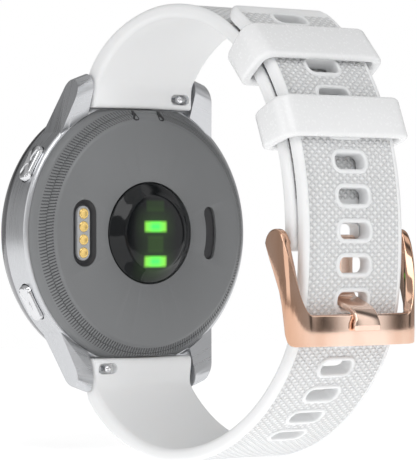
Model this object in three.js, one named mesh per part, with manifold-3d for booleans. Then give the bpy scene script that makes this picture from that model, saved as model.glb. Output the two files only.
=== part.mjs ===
import * as THREE from 'three';
import { mergeVertices } from 'three/addons/utils/BufferGeometryUtils.js';
import Module from 'manifold-3d';

// A GPS running watch, buckled in a closed loop, in millimetres.
// +Z points to twelve o'clock, +X to three o'clock, and the display looks along -Y.
// The origin is the middle of the wrist. Everything is placed inside one group whose own
// origin is on the flat back of the watch, so there y = 0 is the back and y < 0 the case.

const wasm = await Module();
wasm.setup();

// ---------------------------------------------------------------- driving dimensions
const wristCentreDepth = 21;       // from the flat back to the middle of the wrist

// case
const caseRadius = 20.2;
const caseRearY = -3;              // where the metal case meets the back cover
const caseFrontY = -9.4;
const caseChamfer = 0.4;
const boreRadius = 16.6;
const lensLedgeRadius = 15.8;
const lensLedgeDepth = 0.7;

// fits
const jointGap = 0.05;             // flat faces that are clamped together
const closeGap = 0.15;             // pieces that drop into a seat
const looseGap = 0.3;              // pieces with visible play

// front
const bezelDepth = 1.1;
const bezelChamfer = 0.7;
const bezelInnerRadius = 17.7;
const lensThickness = 1;
const lensProud = 0.15;
const lensGasketThickness = 0.25;
const panelThickness = 1.1;
const panelRadius = lensLedgeRadius - looseGap;

// back cover
const backFlatRadius = 16.4;
const shoulderRadius = 17.8;
const shoulderDepth = 1;
const coverMidRadius = 18.7;
const coverMidDepth = 1.9;
const coverRimRadius = 19.6;
const coverFloor = 1.2;
const coverWallRadius = 15.6;
const coverSpigotDepth = 0.7;
const coverSealInner = 17.1;
const coverSealWidth = 0.8;
const coverSealDepth = 0.5;
const rimNotchX = 2.3;
const rimNotchRadius = 0.5;

// optical sensor
const domeRadius = 7.45;
const domeWindowRadius = 5.6;
const domeHeight = 1.3;
const domeCrown = 0.15;
const domeSeatDepth = 0.8;
const domeLedge = 0.85;
const sensorBoardRadius = 6.9;
const sensorBoardThickness = 0.6;
const emitterSize = [4.1, 0.55, 1.65];
const emitterUpperZ = 0.95;
const emitterLowerZ = -4.2;
const photodiodeSize = [3, 0.5, 2.5];
const oximeterSize = [3.2, 0.5, 1.5];
const oximeterZ = 4;

// charging contacts
const contactX = 11.7;
const contactPitch = 1.9;
const contactCount = 4;
const contactRadius = 0.78;
const contactPlateWidth = 2.1;
const contactRecessWidth = 4.1;
const contactPlateDepth = 0.35;
const contactFloorDepth = 0.8;
const contactSink = 0.15;

// vent
const ventRadius = 11.4;
const ventWidth = 1.9;
const ventLength = 8;
const ventSink = 0.4;

// inside
const frameOuterRadius = boreRadius - looseGap;
const frameWall = 1;
const framePlate = 0.5;
const boardThickness = 0.8;
const batterySize = [16, 3, 16];
const batteryX = -3;
const motorRadius = 3.9;
const motorHeight = 2.4;
const motorX = 9.8;
const shieldSize = [11, 0.9, 8];
const antennaSize = [9, 1.3, 7];

// buttons
const buttonTurn = 30;             // degrees above and below three o'clock
const buttonY = -5.2;
const buttonLength = 5.8;
const buttonHeight = 2.5;
const buttonProud = 0.9;
const buttonBody = 1.7;
const buttonTravel = 0.5;
const stemRadius = 0.9;
const stemClearance = 0.1;
const stemEndRadius = 16.05;       // distance of the stem's end from the case axis
const stemNeckRadius = 0.6;
const clipRadius = 1.6;
const clipThickness = 0.25;
const buttonSealTube = 0.22;
const switchSize = [1.3, 2.2, 3.2];

// band
const bandWidth = 18;
const tailNarrowing = 0.7;         // how much less wide the tail is than the band
const strapThickness = 2;
const strapEndThickness = 2.8;
const layerGap = 0.3;
const strapLugGap = 0.35;          // each side, between strap and lug
const loopCentreY = 16;
const loopRadius = 30.4;
const loopFlattening = 4;
const lugAngle = 127;
const upperLugDraw = 2.4;
const lowerLugDraw = 1.6;
const tailAngle = 67;
const tongueHoleAngle = -17.2;
const holePitch = 4.65;
const holesTowardsTail = 9;
const holesTowardsLug = 5;
const holeWidth = 5.2;
const holeHeight = 2.5;

// spring bars and lugs
const barY = -2.75;
const barZ = 19.95;
const barRadius = 0.75;
const barBore = 0.5;
const barPlay = 0.1;
const tipRadius = 0.42;
const tipPlay = 0.1;
const tipReach = 1.05;             // how far a tip stands in its lug
const lugHoleDepth = 1.25;
const strapEndZ = 18.45;
const caseFlatZ = 18.2;
const strapPocketFrontY = -4.6;
const lugTipReach = 2.7;           // lug tip's outer side beyond the band's edge
const lugBaseReach = 5.5;          // lug base's outer side beyond the band's edge
const lugTipRadius = 1.93;
const lugTipY = -3.1;
const lugTipZ = 20.6;
const lugBaseZ = 10;
const lugRearSlope = 0.39;         // how far the rear edge falls for each unit down the lug
const lugFrontSlope = 0.51;
const lugTipSlant = 0.36;          // how far the tip falls for each unit outwards
const knobInset = 2.4;             // release knob's middle inside the band's edge
const knobRadius = 0.55;
const knobSlotLength = 3.4;
const knobSlotWidth = 1.6;
const releaseTravel = 1.1;

// keepers
const keeperLength = 5.5;
const keeperWallThickness = 1.1;
const keeperSideThickness = 1.5;
const keeperPlay = 0.3;
const keeperSidePlay = 0.5;
const lowerKeeperAngle = 29.5;
const upperKeeperAngle = 50.2;

// buckle
const pinZ = -1.3;
const pinRadius = 0.6;
const pinClearance = 0.1;
const pinLoopRadius = 1.15;
const armClearance = 0.05;
const buckleArmPlay = 1.05;        // between the band's edge and each arm
const buckleSheet = 1.25;
const buckleCorner = 3.2;
const crossbarOuterY = 48.3;
const crossbarTopZ = -10.8;
const crossbarBottomZ = -15.05;
const armEndRadius = 1.9;
const tongueWidth = 4.6;
const tongueThickness = 0.75;
const tongueSidePlay = 0.35;

// facets
const bigTurn = 60;
const midTurn = 30;
const smallTurn = 16;

// ---------------------------------------------------------------- materials
const finish = (color, metalness, roughness) =>
  new THREE.MeshStandardMaterial({ color, metalness, roughness });
const silver = finish(0xb9bbbf, 1, 0.3);
const darkRim = finish(0x2b2c30, 1, 0.25);
const glassBlack = finish(0x08090b, 0, 0.08);
const greyShell = finish(0x77797c, 0, 0.45);
const whiteSilicone = finish(0xf3f3f1, 0, 0.5);
const glossWhite = finish(0xf6f6f4, 0, 0.25);
const roseGold = finish(0xc08a6e, 1, 0.2);
const gold = finish(0xd8b04a, 1, 0.25);
const steel = finish(0xa8aaad, 1, 0.3);
const blackRubber = finish(0x1a1a1b, 0, 0.8);
const blackPlastic = finish(0x222326, 0, 0.6);
const paleGrey = finish(0xb5b7b8, 0, 0.5);
const boardGreen = finish(0x1f5a3a, 0, 0.55);
const ledGreen = finish(0x3fd07a, 0, 0.3);
const foil = finish(0xc9ccd0, 0.6, 0.4);

// ---------------------------------------------------------------- shape helpers
const { degToRad } = THREE.MathUtils;

// A closed solid from any closed three.js geometry.
function solid(geometry) {
  const bare = geometry.clone();
  bare.deleteAttribute('normal');
  bare.deleteAttribute('uv');
  const merged = mergeVertices(bare, 1e-4);
  const index = merged.index.array;
  const triangles = [];
  for (let i = 0; i < index.length; i += 3) {
    const [a, b, c] = [index[i], index[i + 1], index[i + 2]];
    if (a !== b && b !== c && c !== a) triangles.push(a, b, c);
  }
  return new wasm.Manifold(new wasm.Mesh({
    numProp: 3,
    vertProperties: Float32Array.from(merged.attributes.position.array),
    triVerts: Uint32Array.from(triangles),
  }));
}

function geometryOf(body) {
  const mesh = body.getMesh();
  const geometry = new THREE.BufferGeometry();
  geometry.setAttribute('position', new THREE.BufferAttribute(mesh.vertProperties.slice(), 3));
  geometry.setIndex(new THREE.BufferAttribute(mesh.triVerts.slice(), 1));
  geometry.computeVertexNormals();
  return geometry;
}

const unite = (bodies) => bodies.reduce((sum, body) => sum.add(body));

// Turned about the Y axis. The profile is [radius, y] pairs.
function turned(profile, segments = bigTurn) {
  const points = profile.map(([r, y]) => new THREE.Vector2(r, y));
  const onAxis = profile[0][0] === 0;
  if (!onAxis) points.push(points[0].clone());
  if (THREE.ShapeUtils.area(points) < 0) points.reverse();
  return new THREE.LatheGeometry(points, segments);
}

const ring = (inner, outer, fromY, toY, segments = bigTurn) =>
  turned([[inner, fromY], [outer, fromY], [outer, toY], [inner, toY]], segments);

const disc = (radius, fromY, toY, segments = bigTurn) =>
  turned([[0, fromY], [radius, fromY], [radius, toY], [0, toY]], segments);

function box(sizeX, sizeY, sizeZ, x = 0, y = 0, z = 0) {
  return new THREE.BoxGeometry(sizeX, sizeY, sizeZ).translate(x, y, z);
}

// A cylinder along X, between two x values.
function rodX(radius, fromX, toX, y = 0, z = 0, segments = smallTurn) {
  const rod = new THREE.CylinderGeometry(radius, radius, Math.abs(toX - fromX), segments);
  return rod.rotateZ(-Math.PI / 2).translate((fromX + toX) / 2, y, z);
}

function rodY(radius, fromY, toY, x = 0, z = 0, segments = smallTurn) {
  const rod = new THREE.CylinderGeometry(radius, radius, Math.abs(toY - fromY), segments);
  return rod.translate(x, (fromY + toY) / 2, z);
}

function polygon(points) {
  return new THREE.Shape(points.map(([x, y]) => new THREE.Vector2(x, y)));
}

// A slot outline with round ends, its long side along the outline's y.
function stadium(width, length, steps = 10) {
  const r = Math.min(width, length) / 2;
  const dx = width / 2 - r;
  const dy = length / 2 - r;
  const shape = new THREE.Shape();
  const points = [];
  for (let side = 0; side < 2; side += 1) {
    for (let i = 0; i <= steps; i += 1) {
      const turn = (dy > 0 ? 0 : -Math.PI / 2) + side * Math.PI + (i / steps) * Math.PI;
      const endX = side === 0 ? dx : -dx;
      const endY = side === 0 ? dy : -dy;
      points.push(new THREE.Vector2(endX + r * Math.cos(turn), endY + r * Math.sin(turn)));
    }
  }
  return shape.setFromPoints(points);
}

const extrude = (shape, depth) =>
  new THREE.ExtrudeGeometry(shape, { depth, bevelEnabled: false, curveSegments: 12 });

const axisX = new THREE.Vector3(1, 0, 0);
const axisY = new THREE.Vector3(0, 1, 0);
const axisZ = new THREE.Vector3(0, 0, 1);
const sideBasis = new THREE.Matrix4().makeBasis(axisY, axisZ, axisX);
const planBasis = new THREE.Matrix4().makeBasis(axisX, axisZ, axisY.clone().negate());

// An outline in (y, z), extruded across the watch between two x values.
const acrossX = (shape, fromX, toX) =>
  extrude(shape, toX - fromX).applyMatrix4(sideBasis).translate(fromX, 0, 0);

// An outline in (x, z), extruded between two y values, toY being the rear one.
const alongY = (shape, fromY, toY) =>
  extrude(shape, toY - fromY).applyMatrix4(planBasis).translate(0, toY, 0);

// A round wire wound about the X axis.
class Helix extends THREE.Curve {
  constructor(radius, length, turns) {
    super();
    this.radius = radius;
    this.length = length;
    this.turns = turns;
  }

  getPoint(t, target = new THREE.Vector3()) {
    const angle = t * this.turns * Math.PI * 2;
    return target.set(
      t * this.length,
      this.radius * Math.cos(angle),
      this.radius * Math.sin(angle),
    );
  }
}

function coilSpring(radius, wire, length, turns) {
  const section = new THREE.Shape();
  const corners = 4;
  for (let i = 0; i < corners; i += 1) {
    const turn = (i / corners) * Math.PI * 2;
    const point = [wire * Math.cos(turn), wire * Math.sin(turn)];
    if (i === 0) section.moveTo(...point);
    else section.lineTo(...point);
  }
  section.closePath();
  return new THREE.ExtrudeGeometry(section, {
    steps: Math.round(turns * 8),
    extrudePath: new Helix(radius, length, turns),
    bevelEnabled: false,
  });
}

// ---------------------------------------------------------------- scene groups
const watch = new THREE.Group();
const backPlane = new THREE.Group();
backPlane.position.y = -wristCentreDepth;
watch.add(backPlane);

function piece(name, body, material, parent = backPlane) {
  const geometry = body.isBufferGeometry ? geometryOf(solid(body)) : geometryOf(body);
  const mesh = new THREE.Mesh(geometry, material);
  mesh.name = name;
  parent.add(mesh);
  return mesh;
}

const upDown = [['upper', 1], ['lower', -1]];

// ---------------------------------------------------------------- case and lugs
const lugInnerX = bandWidth / 2 + strapLugGap;
const lugTipX = bandWidth / 2 + lugTipReach;
const lugBaseX = bandWidth / 2 + lugBaseReach;
const knobX = bandWidth / 2 - knobInset;
const tailWidth = bandWidth - tailNarrowing;
const buckleHalfWidth = bandWidth / 2 + buckleArmPlay + buckleSheet;
const coverSeatRadius = coverRimRadius + looseGap;
const sealOuter = coverSealInner + coverSealWidth;

function lug(sideX, sideZ) {
  const rearTurn = -Math.atan(lugRearSlope);
  const frontTurn = Math.PI - Math.atan(lugFrontSlope);
  const tip = [];
  for (let i = 0; i <= 10; i += 1) {
    const turn = THREE.MathUtils.lerp(rearTurn, frontTurn, i / 10);
    tip.push([lugTipY + lugTipRadius * Math.cos(turn), lugTipZ + lugTipRadius * Math.sin(turn)]);
  }
  const [rearY, rearZ] = tip[0];
  const [frontY, frontZ] = tip[tip.length - 1];
  const sideView = polygon([
    [rearY - lugRearSlope * (rearZ - lugBaseZ), lugBaseZ],
    ...tip,
    [Math.max(frontY - lugFrontSlope * (frontZ - lugBaseZ), caseFrontY + 0.2), lugBaseZ],
  ].map(([y, z]) => [y, sideZ * z]));
  const slant = new THREE.Matrix4().set(
    1, 0, 0, 0,
    0, 1, 0, 0,
    -lugTipSlant * sideX * sideZ, 0, 1, lugTipSlant * sideZ * lugTipX,
    0, 0, 0, 1,
  );
  const planView = polygon([
    [lugInnerX, lugBaseZ], [lugBaseX, lugBaseZ + 2], [lugTipX, 22.6], [lugTipX, 25], [lugInnerX, 25],
  ].map(([x, z]) => [sideX * x, sideZ * z]));
  const [fromX, toX] = sideX > 0 ? [5, 20] : [-20, -5];
  return solid(acrossX(sideView, fromX, toX).applyMatrix4(slant))
    .intersect(solid(alongY(planView, -12, 2)));
}

const strapPocket = (sideZ, clearance) => solid(box(
  2 * lugInnerX + 2 * clearance, 8, 6, 0, strapPocketFrontY + 4, sideZ * (caseFlatZ + 3),
));

// Buttons lie on a ray from the case axis, built along +X and turned about Y.
const buttonAngle = (sideZ) => -sideZ * degToRad(buttonTurn);
const buttonOuterX = caseRadius + buttonProud;
const buttonInnerX = buttonOuterX - buttonBody;
const pocketFloorX = buttonInnerX - buttonTravel - looseGap;
const sealX = (boreRadius + pocketFloorX) / 2;
const sealGrooveRadius = stemRadius + 2 * buttonSealTube + stemClearance;

const buttonPrism = (grow, fromX, toX) =>
  extrude(stadium(buttonHeight + 2 * grow, buttonLength + 2 * grow), toX - fromX)
    .applyMatrix4(new THREE.Matrix4().makeBasis(axisY, axisZ, axisX))
    .translate(fromX, buttonY, 0);

function buttonCut(sideZ) {
  const groove = rodX(sealGrooveRadius, sealX - 0.35, sealX + 0.35, buttonY);
  return unite([
    solid(buttonPrism(closeGap, pocketFloorX, buttonOuterX + 2).rotateY(buttonAngle(sideZ))),
    solid(rodX(stemRadius + stemClearance, 14, buttonOuterX, buttonY).rotateY(buttonAngle(sideZ))),
    solid(groove.rotateY(buttonAngle(sideZ))),
  ]);
}

function caseBody() {
  const shell = solid(turned([
    [boreRadius, caseRearY],
    [caseRadius - caseChamfer, caseRearY],
    [caseRadius, caseRearY - caseChamfer],
    [caseRadius, caseFrontY + caseChamfer],
    [caseRadius - caseChamfer, caseFrontY],
    [lensLedgeRadius, caseFrontY],
    [lensLedgeRadius, caseFrontY + lensLedgeDepth],
    [boreRadius, caseFrontY + lensLedgeDepth],
  ]));
  const lugs = unite([1, -1].flatMap((sideX) => [1, -1].map((sideZ) => lug(sideX, sideZ))));
  const hollow = solid(disc(boreRadius, caseFrontY + lensLedgeDepth, 4))
    .add(solid(disc(lensLedgeRadius, caseFrontY - 2, 4)));
  const coverSeat = solid(disc(coverSeatRadius, caseRearY, 4));
  const sealGroove = solid(ring(
    coverSealInner - jointGap, sealOuter + jointGap, caseRearY - coverSealDepth, caseRearY + 1,
  ));
  const pockets = unite([strapPocket(1, 0), strapPocket(-1, 0)]);
  const barHoles = unite(upDown.map(([, sideZ]) => solid(rodX(
    tipRadius + tipPlay, -lugInnerX - lugHoleDepth, lugInnerX + lugHoleDepth, barY, sideZ * barZ,
  ))));
  const buttons = unite(upDown.map(([, sideZ]) => buttonCut(sideZ)));
  return unite([shell, lugs.subtract(hollow)])
    .subtract(coverSeat)
    .subtract(sealGroove)
    .subtract(pockets)
    .subtract(barHoles)
    .subtract(buttons);
}
piece('case_body', caseBody(), silver);

// ---------------------------------------------------------------- bezel, lens and display
const bezelRearY = caseFrontY - jointGap;
const bezelOuterRadius = caseRadius - caseChamfer;
piece('bezel_ring', turned([
  [bezelInnerRadius, bezelRearY],
  [bezelOuterRadius, bezelRearY],
  [bezelOuterRadius, bezelRearY - bezelDepth + bezelChamfer],
  [bezelOuterRadius - bezelChamfer, bezelRearY - bezelDepth],
  [bezelInnerRadius, bezelRearY - bezelDepth],
]), darkRim);

const lensRadius = bezelInnerRadius - looseGap;
const lensRearY = caseFrontY - lensGasketThickness - 2 * jointGap;
const lensFrontY = bezelRearY - bezelDepth - lensProud;
piece('display_lens', turned([
  [0, lensRearY],
  [lensRadius, lensRearY],
  [lensRadius, lensFrontY + lensThickness / 4],
  [lensRadius - lensThickness / 4, lensFrontY],
  [0, lensFrontY],
]), glassBlack);
piece('lens_gasket', ring(
  lensLedgeRadius + closeGap, lensRadius, lensRearY + jointGap, caseFrontY - jointGap,
), blackRubber);

const panelFrontY = lensRearY + jointGap;
const panelRearY = panelFrontY + panelThickness;
piece('display_panel', disc(panelRadius, panelFrontY, panelRearY), blackPlastic);

// ---------------------------------------------------------------- electronics inside
const frameFrontY = Math.max(panelRearY, caseFrontY + lensLedgeDepth) + jointGap;
const framePlateY = frameFrontY + framePlate;
const spigotEndY = caseRearY - coverSpigotDepth;
const frameRearY = spigotEndY - jointGap * 2;
const frameInnerRadius = frameOuterRadius - frameWall;
const switchOuterX = stemEndRadius - buttonTravel - jointGap;
const switchInnerX = switchOuterX - switchSize[0];

// Room for the two button switches, cut from the frame and from the edge of the board.
const switchRoom = () => unite(upDown.map(([, sideZ]) => solid(
  box(frameOuterRadius - switchInnerX + 2, switchSize[1] + 1.6, switchSize[2] + 1,
    (frameOuterRadius + switchInnerX) / 2 + 0.5, buttonY, 0).rotateY(buttonAngle(sideZ)),
)));

function innerFrame() {
  const pot = solid(turned([
    [0, frameFrontY],
    [frameOuterRadius, frameFrontY],
    [frameOuterRadius, frameRearY],
    [frameInnerRadius, frameRearY],
    [frameInnerRadius, framePlateY],
    [0, framePlateY],
  ]));
  return pot.subtract(switchRoom());
}
piece('inner_frame', innerFrame(), blackPlastic);

const cellFrontY = framePlateY + closeGap;
piece('battery', box(...batterySize, batteryX, cellFrontY + batterySize[1] / 2, 0), foil);
piece('vibration_motor', rodY(
  motorRadius, cellFrontY, cellFrontY + motorHeight, motorX, 0, midTurn,
), steel);

const boardFrontY = cellFrontY + batterySize[1] + closeGap;
const boardRearY = boardFrontY + boardThickness;
piece('main_board', solid(
  disc(frameInnerRadius - looseGap, boardFrontY, boardRearY),
).subtract(switchRoom()), boardGreen);
const onBoard = (size, x, z) =>
  box(...size, x, boardRearY + jointGap + size[1] / 2, z);
piece('shield_can', onBoard(shieldSize, -1, 9.4), steel);
piece('gps_antenna', onBoard(antennaSize, 0, -10.6), paleGrey);

// ---------------------------------------------------------------- back cover
const coverRearY = 0;
const coverFloorY = coverRearY - coverFloor;
const coverFlangeY = caseRearY + jointGap;

// An arc slot around the case axis, towards nine o'clock.
function ventOutline(grow) {
  const half = (ventLength / 2 - ventWidth / 2) / ventRadius;
  const outer = ventRadius + ventWidth / 2 + grow;
  const inner = ventRadius - ventWidth / 2 - grow;
  const end = ventWidth / 2 + grow;
  const points = [];
  const steps = 8;
  const polar = (r, a) => new THREE.Vector2(-r * Math.cos(a), r * Math.sin(a));
  for (let i = 0; i <= steps; i += 1) points.push(polar(outer, -half + (2 * half * i) / steps));
  for (let i = 1; i < steps; i += 1) {
    const turn = (i / steps) * Math.PI;
    const tip = polar(ventRadius, half);
    points.push(tip.add(polar(end * Math.cos(turn), half).setY(0))
      .add(new THREE.Vector2(0, end * Math.sin(turn))));
  }
  for (let i = 0; i <= steps; i += 1) points.push(polar(inner, half - (2 * half * i) / steps));
  for (let i = 1; i < steps; i += 1) {
    const turn = Math.PI - (i / steps) * Math.PI;
    const tip = polar(ventRadius, -half);
    points.push(tip.add(polar(end * Math.cos(turn), half).setY(0))
      .sub(new THREE.Vector2(0, end * Math.sin(turn))));
  }
  return new THREE.Shape(points);
}

const contactLength = contactPitch * (contactCount - 1);
const recessLength = contactLength + contactRecessWidth;
const plateLength = contactLength + contactPlateWidth;
const contactRows = Array.from({ length: contactCount }, (_, i) =>
  contactLength / 2 - i * contactPitch);

function backCover() {
  const shell = solid(turned([
    [0, coverRearY],
    [backFlatRadius, coverRearY],
    [backFlatRadius + 0.7, coverRearY - 0.35],
    [shoulderRadius, coverRearY - shoulderDepth],
    [coverMidRadius, coverRearY - coverMidDepth],
    [coverRimRadius, coverFlangeY],
    [frameOuterRadius, coverFlangeY],
    [frameOuterRadius, spigotEndY],
    [coverWallRadius, spigotEndY],
    [coverWallRadius, coverFloorY],
    [0, coverFloorY],
  ]));
  const cuts = [
    solid(disc(domeRadius + closeGap, coverRearY - domeLedge, 2)),
    solid(disc(domeRadius - 0.8, -4, 2)),
    solid(alongY(stadium(contactRecessWidth, recessLength), -4, 2).translate(contactX, 0, 0)),
    solid(alongY(ventOutline(0), -4, 2)),
    strapPocket(1, looseGap),
    strapPocket(-1, looseGap),
    solid(box(2 * lugInnerX + 2 * looseGap, 8, 6, 0, 0, caseFlatZ + 3)),
    solid(box(2 * lugInnerX + 2 * looseGap, 8, 6, 0, 0, -caseFlatZ - 3)),
    ...[1, -1].map((side) => solid(
      rodY(rimNotchRadius, -coverFloor, 1, side * rimNotchX, caseFlatZ - 0.25, smallTurn),
    )),
  ];
  return shell.subtract(unite(cuts));
}
piece('back_cover', backCover(), greyShell);
piece('back_cover_gasket', ring(
  coverSealInner + jointGap, sealOuter - jointGap,
  caseRearY - coverSealDepth + jointGap, caseRearY,
), blackRubber);

// optical sensor
piece('sensor_dome', turned([
  [0, domeHeight + domeCrown],
  [domeWindowRadius * 0.6, domeHeight + domeCrown * 0.65],
  [domeWindowRadius - 0.25, domeHeight],
  [domeWindowRadius + 0.15, domeHeight - 0.2],
  [domeRadius - 0.25, 0.15],
  [domeRadius, -0.05],
  [domeRadius, -domeSeatDepth],
  [0, -domeSeatDepth],
]), glassBlack);
const emitterTopY = -domeSeatDepth - closeGap;
const sensorBoardRearY = emitterTopY - emitterSize[1];
piece('sensor_board', disc(
  sensorBoardRadius, sensorBoardRearY - sensorBoardThickness, sensorBoardRearY, midTurn,
), boardGreen);
const onSensor = (size, z) => box(...size, 0, sensorBoardRearY + size[1] / 2, z);
piece('led_upper', onSensor(emitterSize, emitterUpperZ), ledGreen);
piece('led_lower', onSensor(emitterSize, emitterLowerZ), ledGreen);
piece('photodiode', onSensor(photodiodeSize, (emitterUpperZ + emitterLowerZ) / 2), darkRim);
piece('oximeter_sensor', onSensor(oximeterSize, oximeterZ), darkRim);

// charging contacts in their insulating block
function contactBlock() {
  const floor = solid(alongY(
    stadium(contactRecessWidth - 2 * closeGap, recessLength - 2 * closeGap),
    coverFloorY - 0.3, -contactFloorDepth,
  ).translate(contactX, 0, 0));
  const plate = solid(alongY(
    stadium(contactPlateWidth, plateLength), coverFloorY, -contactPlateDepth,
  ).translate(contactX, 0, 0));
  const holes = contactRows.map((z) =>
    solid(rodY(contactRadius + jointGap, -4, 1, contactX, z)));
  return floor.add(plate).subtract(unite(holes));
}
piece('contact_block', contactBlock(), paleGrey);
contactRows.forEach((z, i) => {
  piece(`charge_contact_${i + 1}`, rodY(
    contactRadius, coverFloorY - 0.5, -contactSink, contactX, z,
  ), gold);
});

piece('vent_grille', alongY(ventOutline(-closeGap), coverFloorY + 0.1, -ventSink), blackPlastic);
piece('pressure_sensor', box(3, 0.8, 5, -ventRadius, coverFloorY - closeGap - 0.4, 0), steel);

// ---------------------------------------------------------------- buttons
function clipOutline() {
  const shape = new THREE.Shape();
  const inner = stemNeckRadius + jointGap;
  shape.absarc(0, 0, clipRadius, Math.PI * 0.25, Math.PI * 1.75, false);
  shape.absarc(0, 0, inner, Math.PI * 1.75, Math.PI * 0.25, true);
  shape.closePath();
  return shape;
}

for (const [side, sideZ] of upDown) {
  const radial = new THREE.Group();
  radial.rotation.y = buttonAngle(sideZ);
  backPlane.add(radial);
  const neckX = stemEndRadius + 0.15;
  const neckEndX = neckX + clipThickness + 2 * jointGap;
  const stem = unite([
    solid(buttonPrism(0, buttonInnerX, buttonOuterX)),
    solid(rodX(stemRadius, neckEndX, buttonInnerX + 0.3, buttonY)),
    solid(rodX(stemNeckRadius, stemEndRadius, neckEndX + 0.1, buttonY)),
    solid(rodX(stemRadius, stemEndRadius, neckX, buttonY)),
  ]);
  piece(`${side}_button`, stem, silver, radial);
  const clip = acrossX(clipOutline(), neckX + jointGap, neckX + jointGap + clipThickness);
  piece(`${side}_button_clip`, clip.translate(0, buttonY, 0), steel, radial);
  const seal = new THREE.TorusGeometry(
    stemRadius + jointGap + buttonSealTube, buttonSealTube, 6, smallTurn,
  );
  seal.rotateY(Math.PI / 2).translate(sealX, buttonY, 0);
  piece(`${side}_button_seal`, seal, blackRubber, radial);
  const springRoom = buttonInnerX - pocketFloorX;
  const spring = coilSpring(stemRadius + 0.3, 0.08, springRoom - 0.3, 2);
  piece(`${side}_button_spring`, spring.translate(pocketFloorX + 0.15, buttonY, 0), steel, radial);
  const dome = box(...switchSize, switchInnerX + switchSize[0] / 2, buttonY, 0);
  piece(`${side}_button_switch`, dome, blackPlastic, radial);
}

// ---------------------------------------------------------------- spring bars
// The upper bar is released at -X, the lower one at +X.
const barEndX = bandWidth / 2 - 0.2;
const tipEndX = lugInnerX + tipReach;
const springFromX = -knobX + knobSlotLength / 2 + 0.4;
const springToX = barEndX - 2.6;

for (const [side, sideZ] of upDown) {
  const bar = new THREE.Group();
  bar.position.set(0, barY, sideZ * barZ);
  bar.rotation.y = sideZ > 0 ? 0 : Math.PI;
  backPlane.add(bar);
  const tube = solid(turned([
    [barBore, -barEndX], [barRadius, -barEndX], [barRadius, barEndX], [barBore, barEndX],
  ], smallTurn).rotateZ(-Math.PI / 2));
  const slot = solid(box(
    releaseTravel + 2 * knobRadius + 2 * looseGap, 2, 2 * knobRadius + looseGap,
    -knobX + releaseTravel / 2, 1, 0,
  ));
  piece(`${side}_bar_tube`, tube.subtract(slot), steel, bar);
  piece(`${side}_bar_fixed_tip`, rodX(tipRadius, springToX + closeGap, tipEndX), steel, bar);
  const releaseTip = solid(rodX(tipRadius, -tipEndX, -knobX + knobRadius + 0.2));
  const knob = solid(rodY(knobRadius, 0, -1.55 - barY, -knobX, 0));
  const shank = solid(rodY(tipRadius, -0.3, 0.3, -knobX, 0));
  const stemOnly = knob.subtract(solid(rodX(barRadius + 0.15, -barEndX, barEndX)));
  const neck = solid(rodY(tipRadius, 0, barRadius + 0.3, -knobX, 0));
  piece(`${side}_bar_release`, unite([releaseTip, shank, stemOnly, neck]), steel, bar);
  const spring = coilSpring(0.3, 0.07, springToX - springFromX, 6);
  piece(`${side}_bar_spring`, spring.translate(springFromX, 0, 0), steel, bar);
}

// ---------------------------------------------------------------- band centre lines
// The loop is described by its inner radius about a centre in the (y, z) plane. Angles
// are in degrees from +Y, positive towards twelve o'clock.
const cosSquared = (degrees) => Math.cos(degToRad(degrees)) ** 2;

function upperInner(angle) {
  if (angle > 90) return loopRadius - upperLugDraw * ((angle - 90) / (lugAngle - 90)) ** 2;
  return angle > 80 ? loopRadius : loopRadius - loopFlattening * cosSquared(angle * 1.125);
}

const layerStep = strapThickness + layerGap;
const tailDip = loopFlattening - layerStep;

function lowerInner(angle) {
  if (angle > 0) return upperInner(angle) + layerStep;
  if (angle > -36) return loopRadius - tailDip * cosSquared(angle * 2.5);
  return angle > -90 ? loopRadius
    : loopRadius - lowerLugDraw * ((-90 - angle) / (lugAngle - 90)) ** 2;
}

function loopPoint(angle, radius) {
  const turn = degToRad(angle);
  return new THREE.Vector2(loopCentreY + radius * Math.cos(turn), radius * Math.sin(turn));
}

// Point in mid thickness and direction of rising angle, at one angle of a strap.
function strapFrame(innerAt, angle, depth) {
  const point = loopPoint(angle, innerAt(angle) + depth);
  const ahead = loopPoint(angle + 0.5, innerAt(angle + 0.5) + depth);
  const behind = loopPoint(angle - 0.5, innerAt(angle - 0.5) + depth);
  return { point, tangent: ahead.sub(behind).normalize() };
}

function thicknessAt(angle) {
  const near = THREE.MathUtils.smoothstep(Math.abs(angle), 98, lugAngle);
  return strapThickness + (strapEndThickness - strapThickness) * near;
}

function curvePoints(radiusAt, from, to, steps) {
  return Array.from({ length: steps + 1 }, (_, i) => {
    const angle = from + ((to - from) * i) / steps;
    return loopPoint(angle, radiusAt(angle));
  });
}

// The thick end that holds the spring bar, from the loop's outer side round to its inner.
function lugEndPoints(sideZ) {
  const innerY = barY + strapEndThickness / 2;
  const outerY = innerY - strapEndThickness;
  return [[outerY + 0.55, 23.4], [outerY + 0.13, 22.5], [outerY, 21.5], [outerY, strapEndZ],
    [innerY, strapEndZ]].map(([y, z]) => new THREE.Vector2(y, sideZ * z));
}

const barBoreThroughStrap = (sideZ) => unite([
  solid(rodX(barRadius + barPlay, -12, 12, barY, sideZ * barZ)),
  solid(box(knobSlotLength, 3, knobSlotWidth, -sideZ * knobX, barY + 1.5, sideZ * barZ)),
]);

// ---------------------------------------------------------------- upper strap
const pinY = loopCentreY + loopRadius - loopFlattening + strapThickness / 2 - 0.05;

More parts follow.
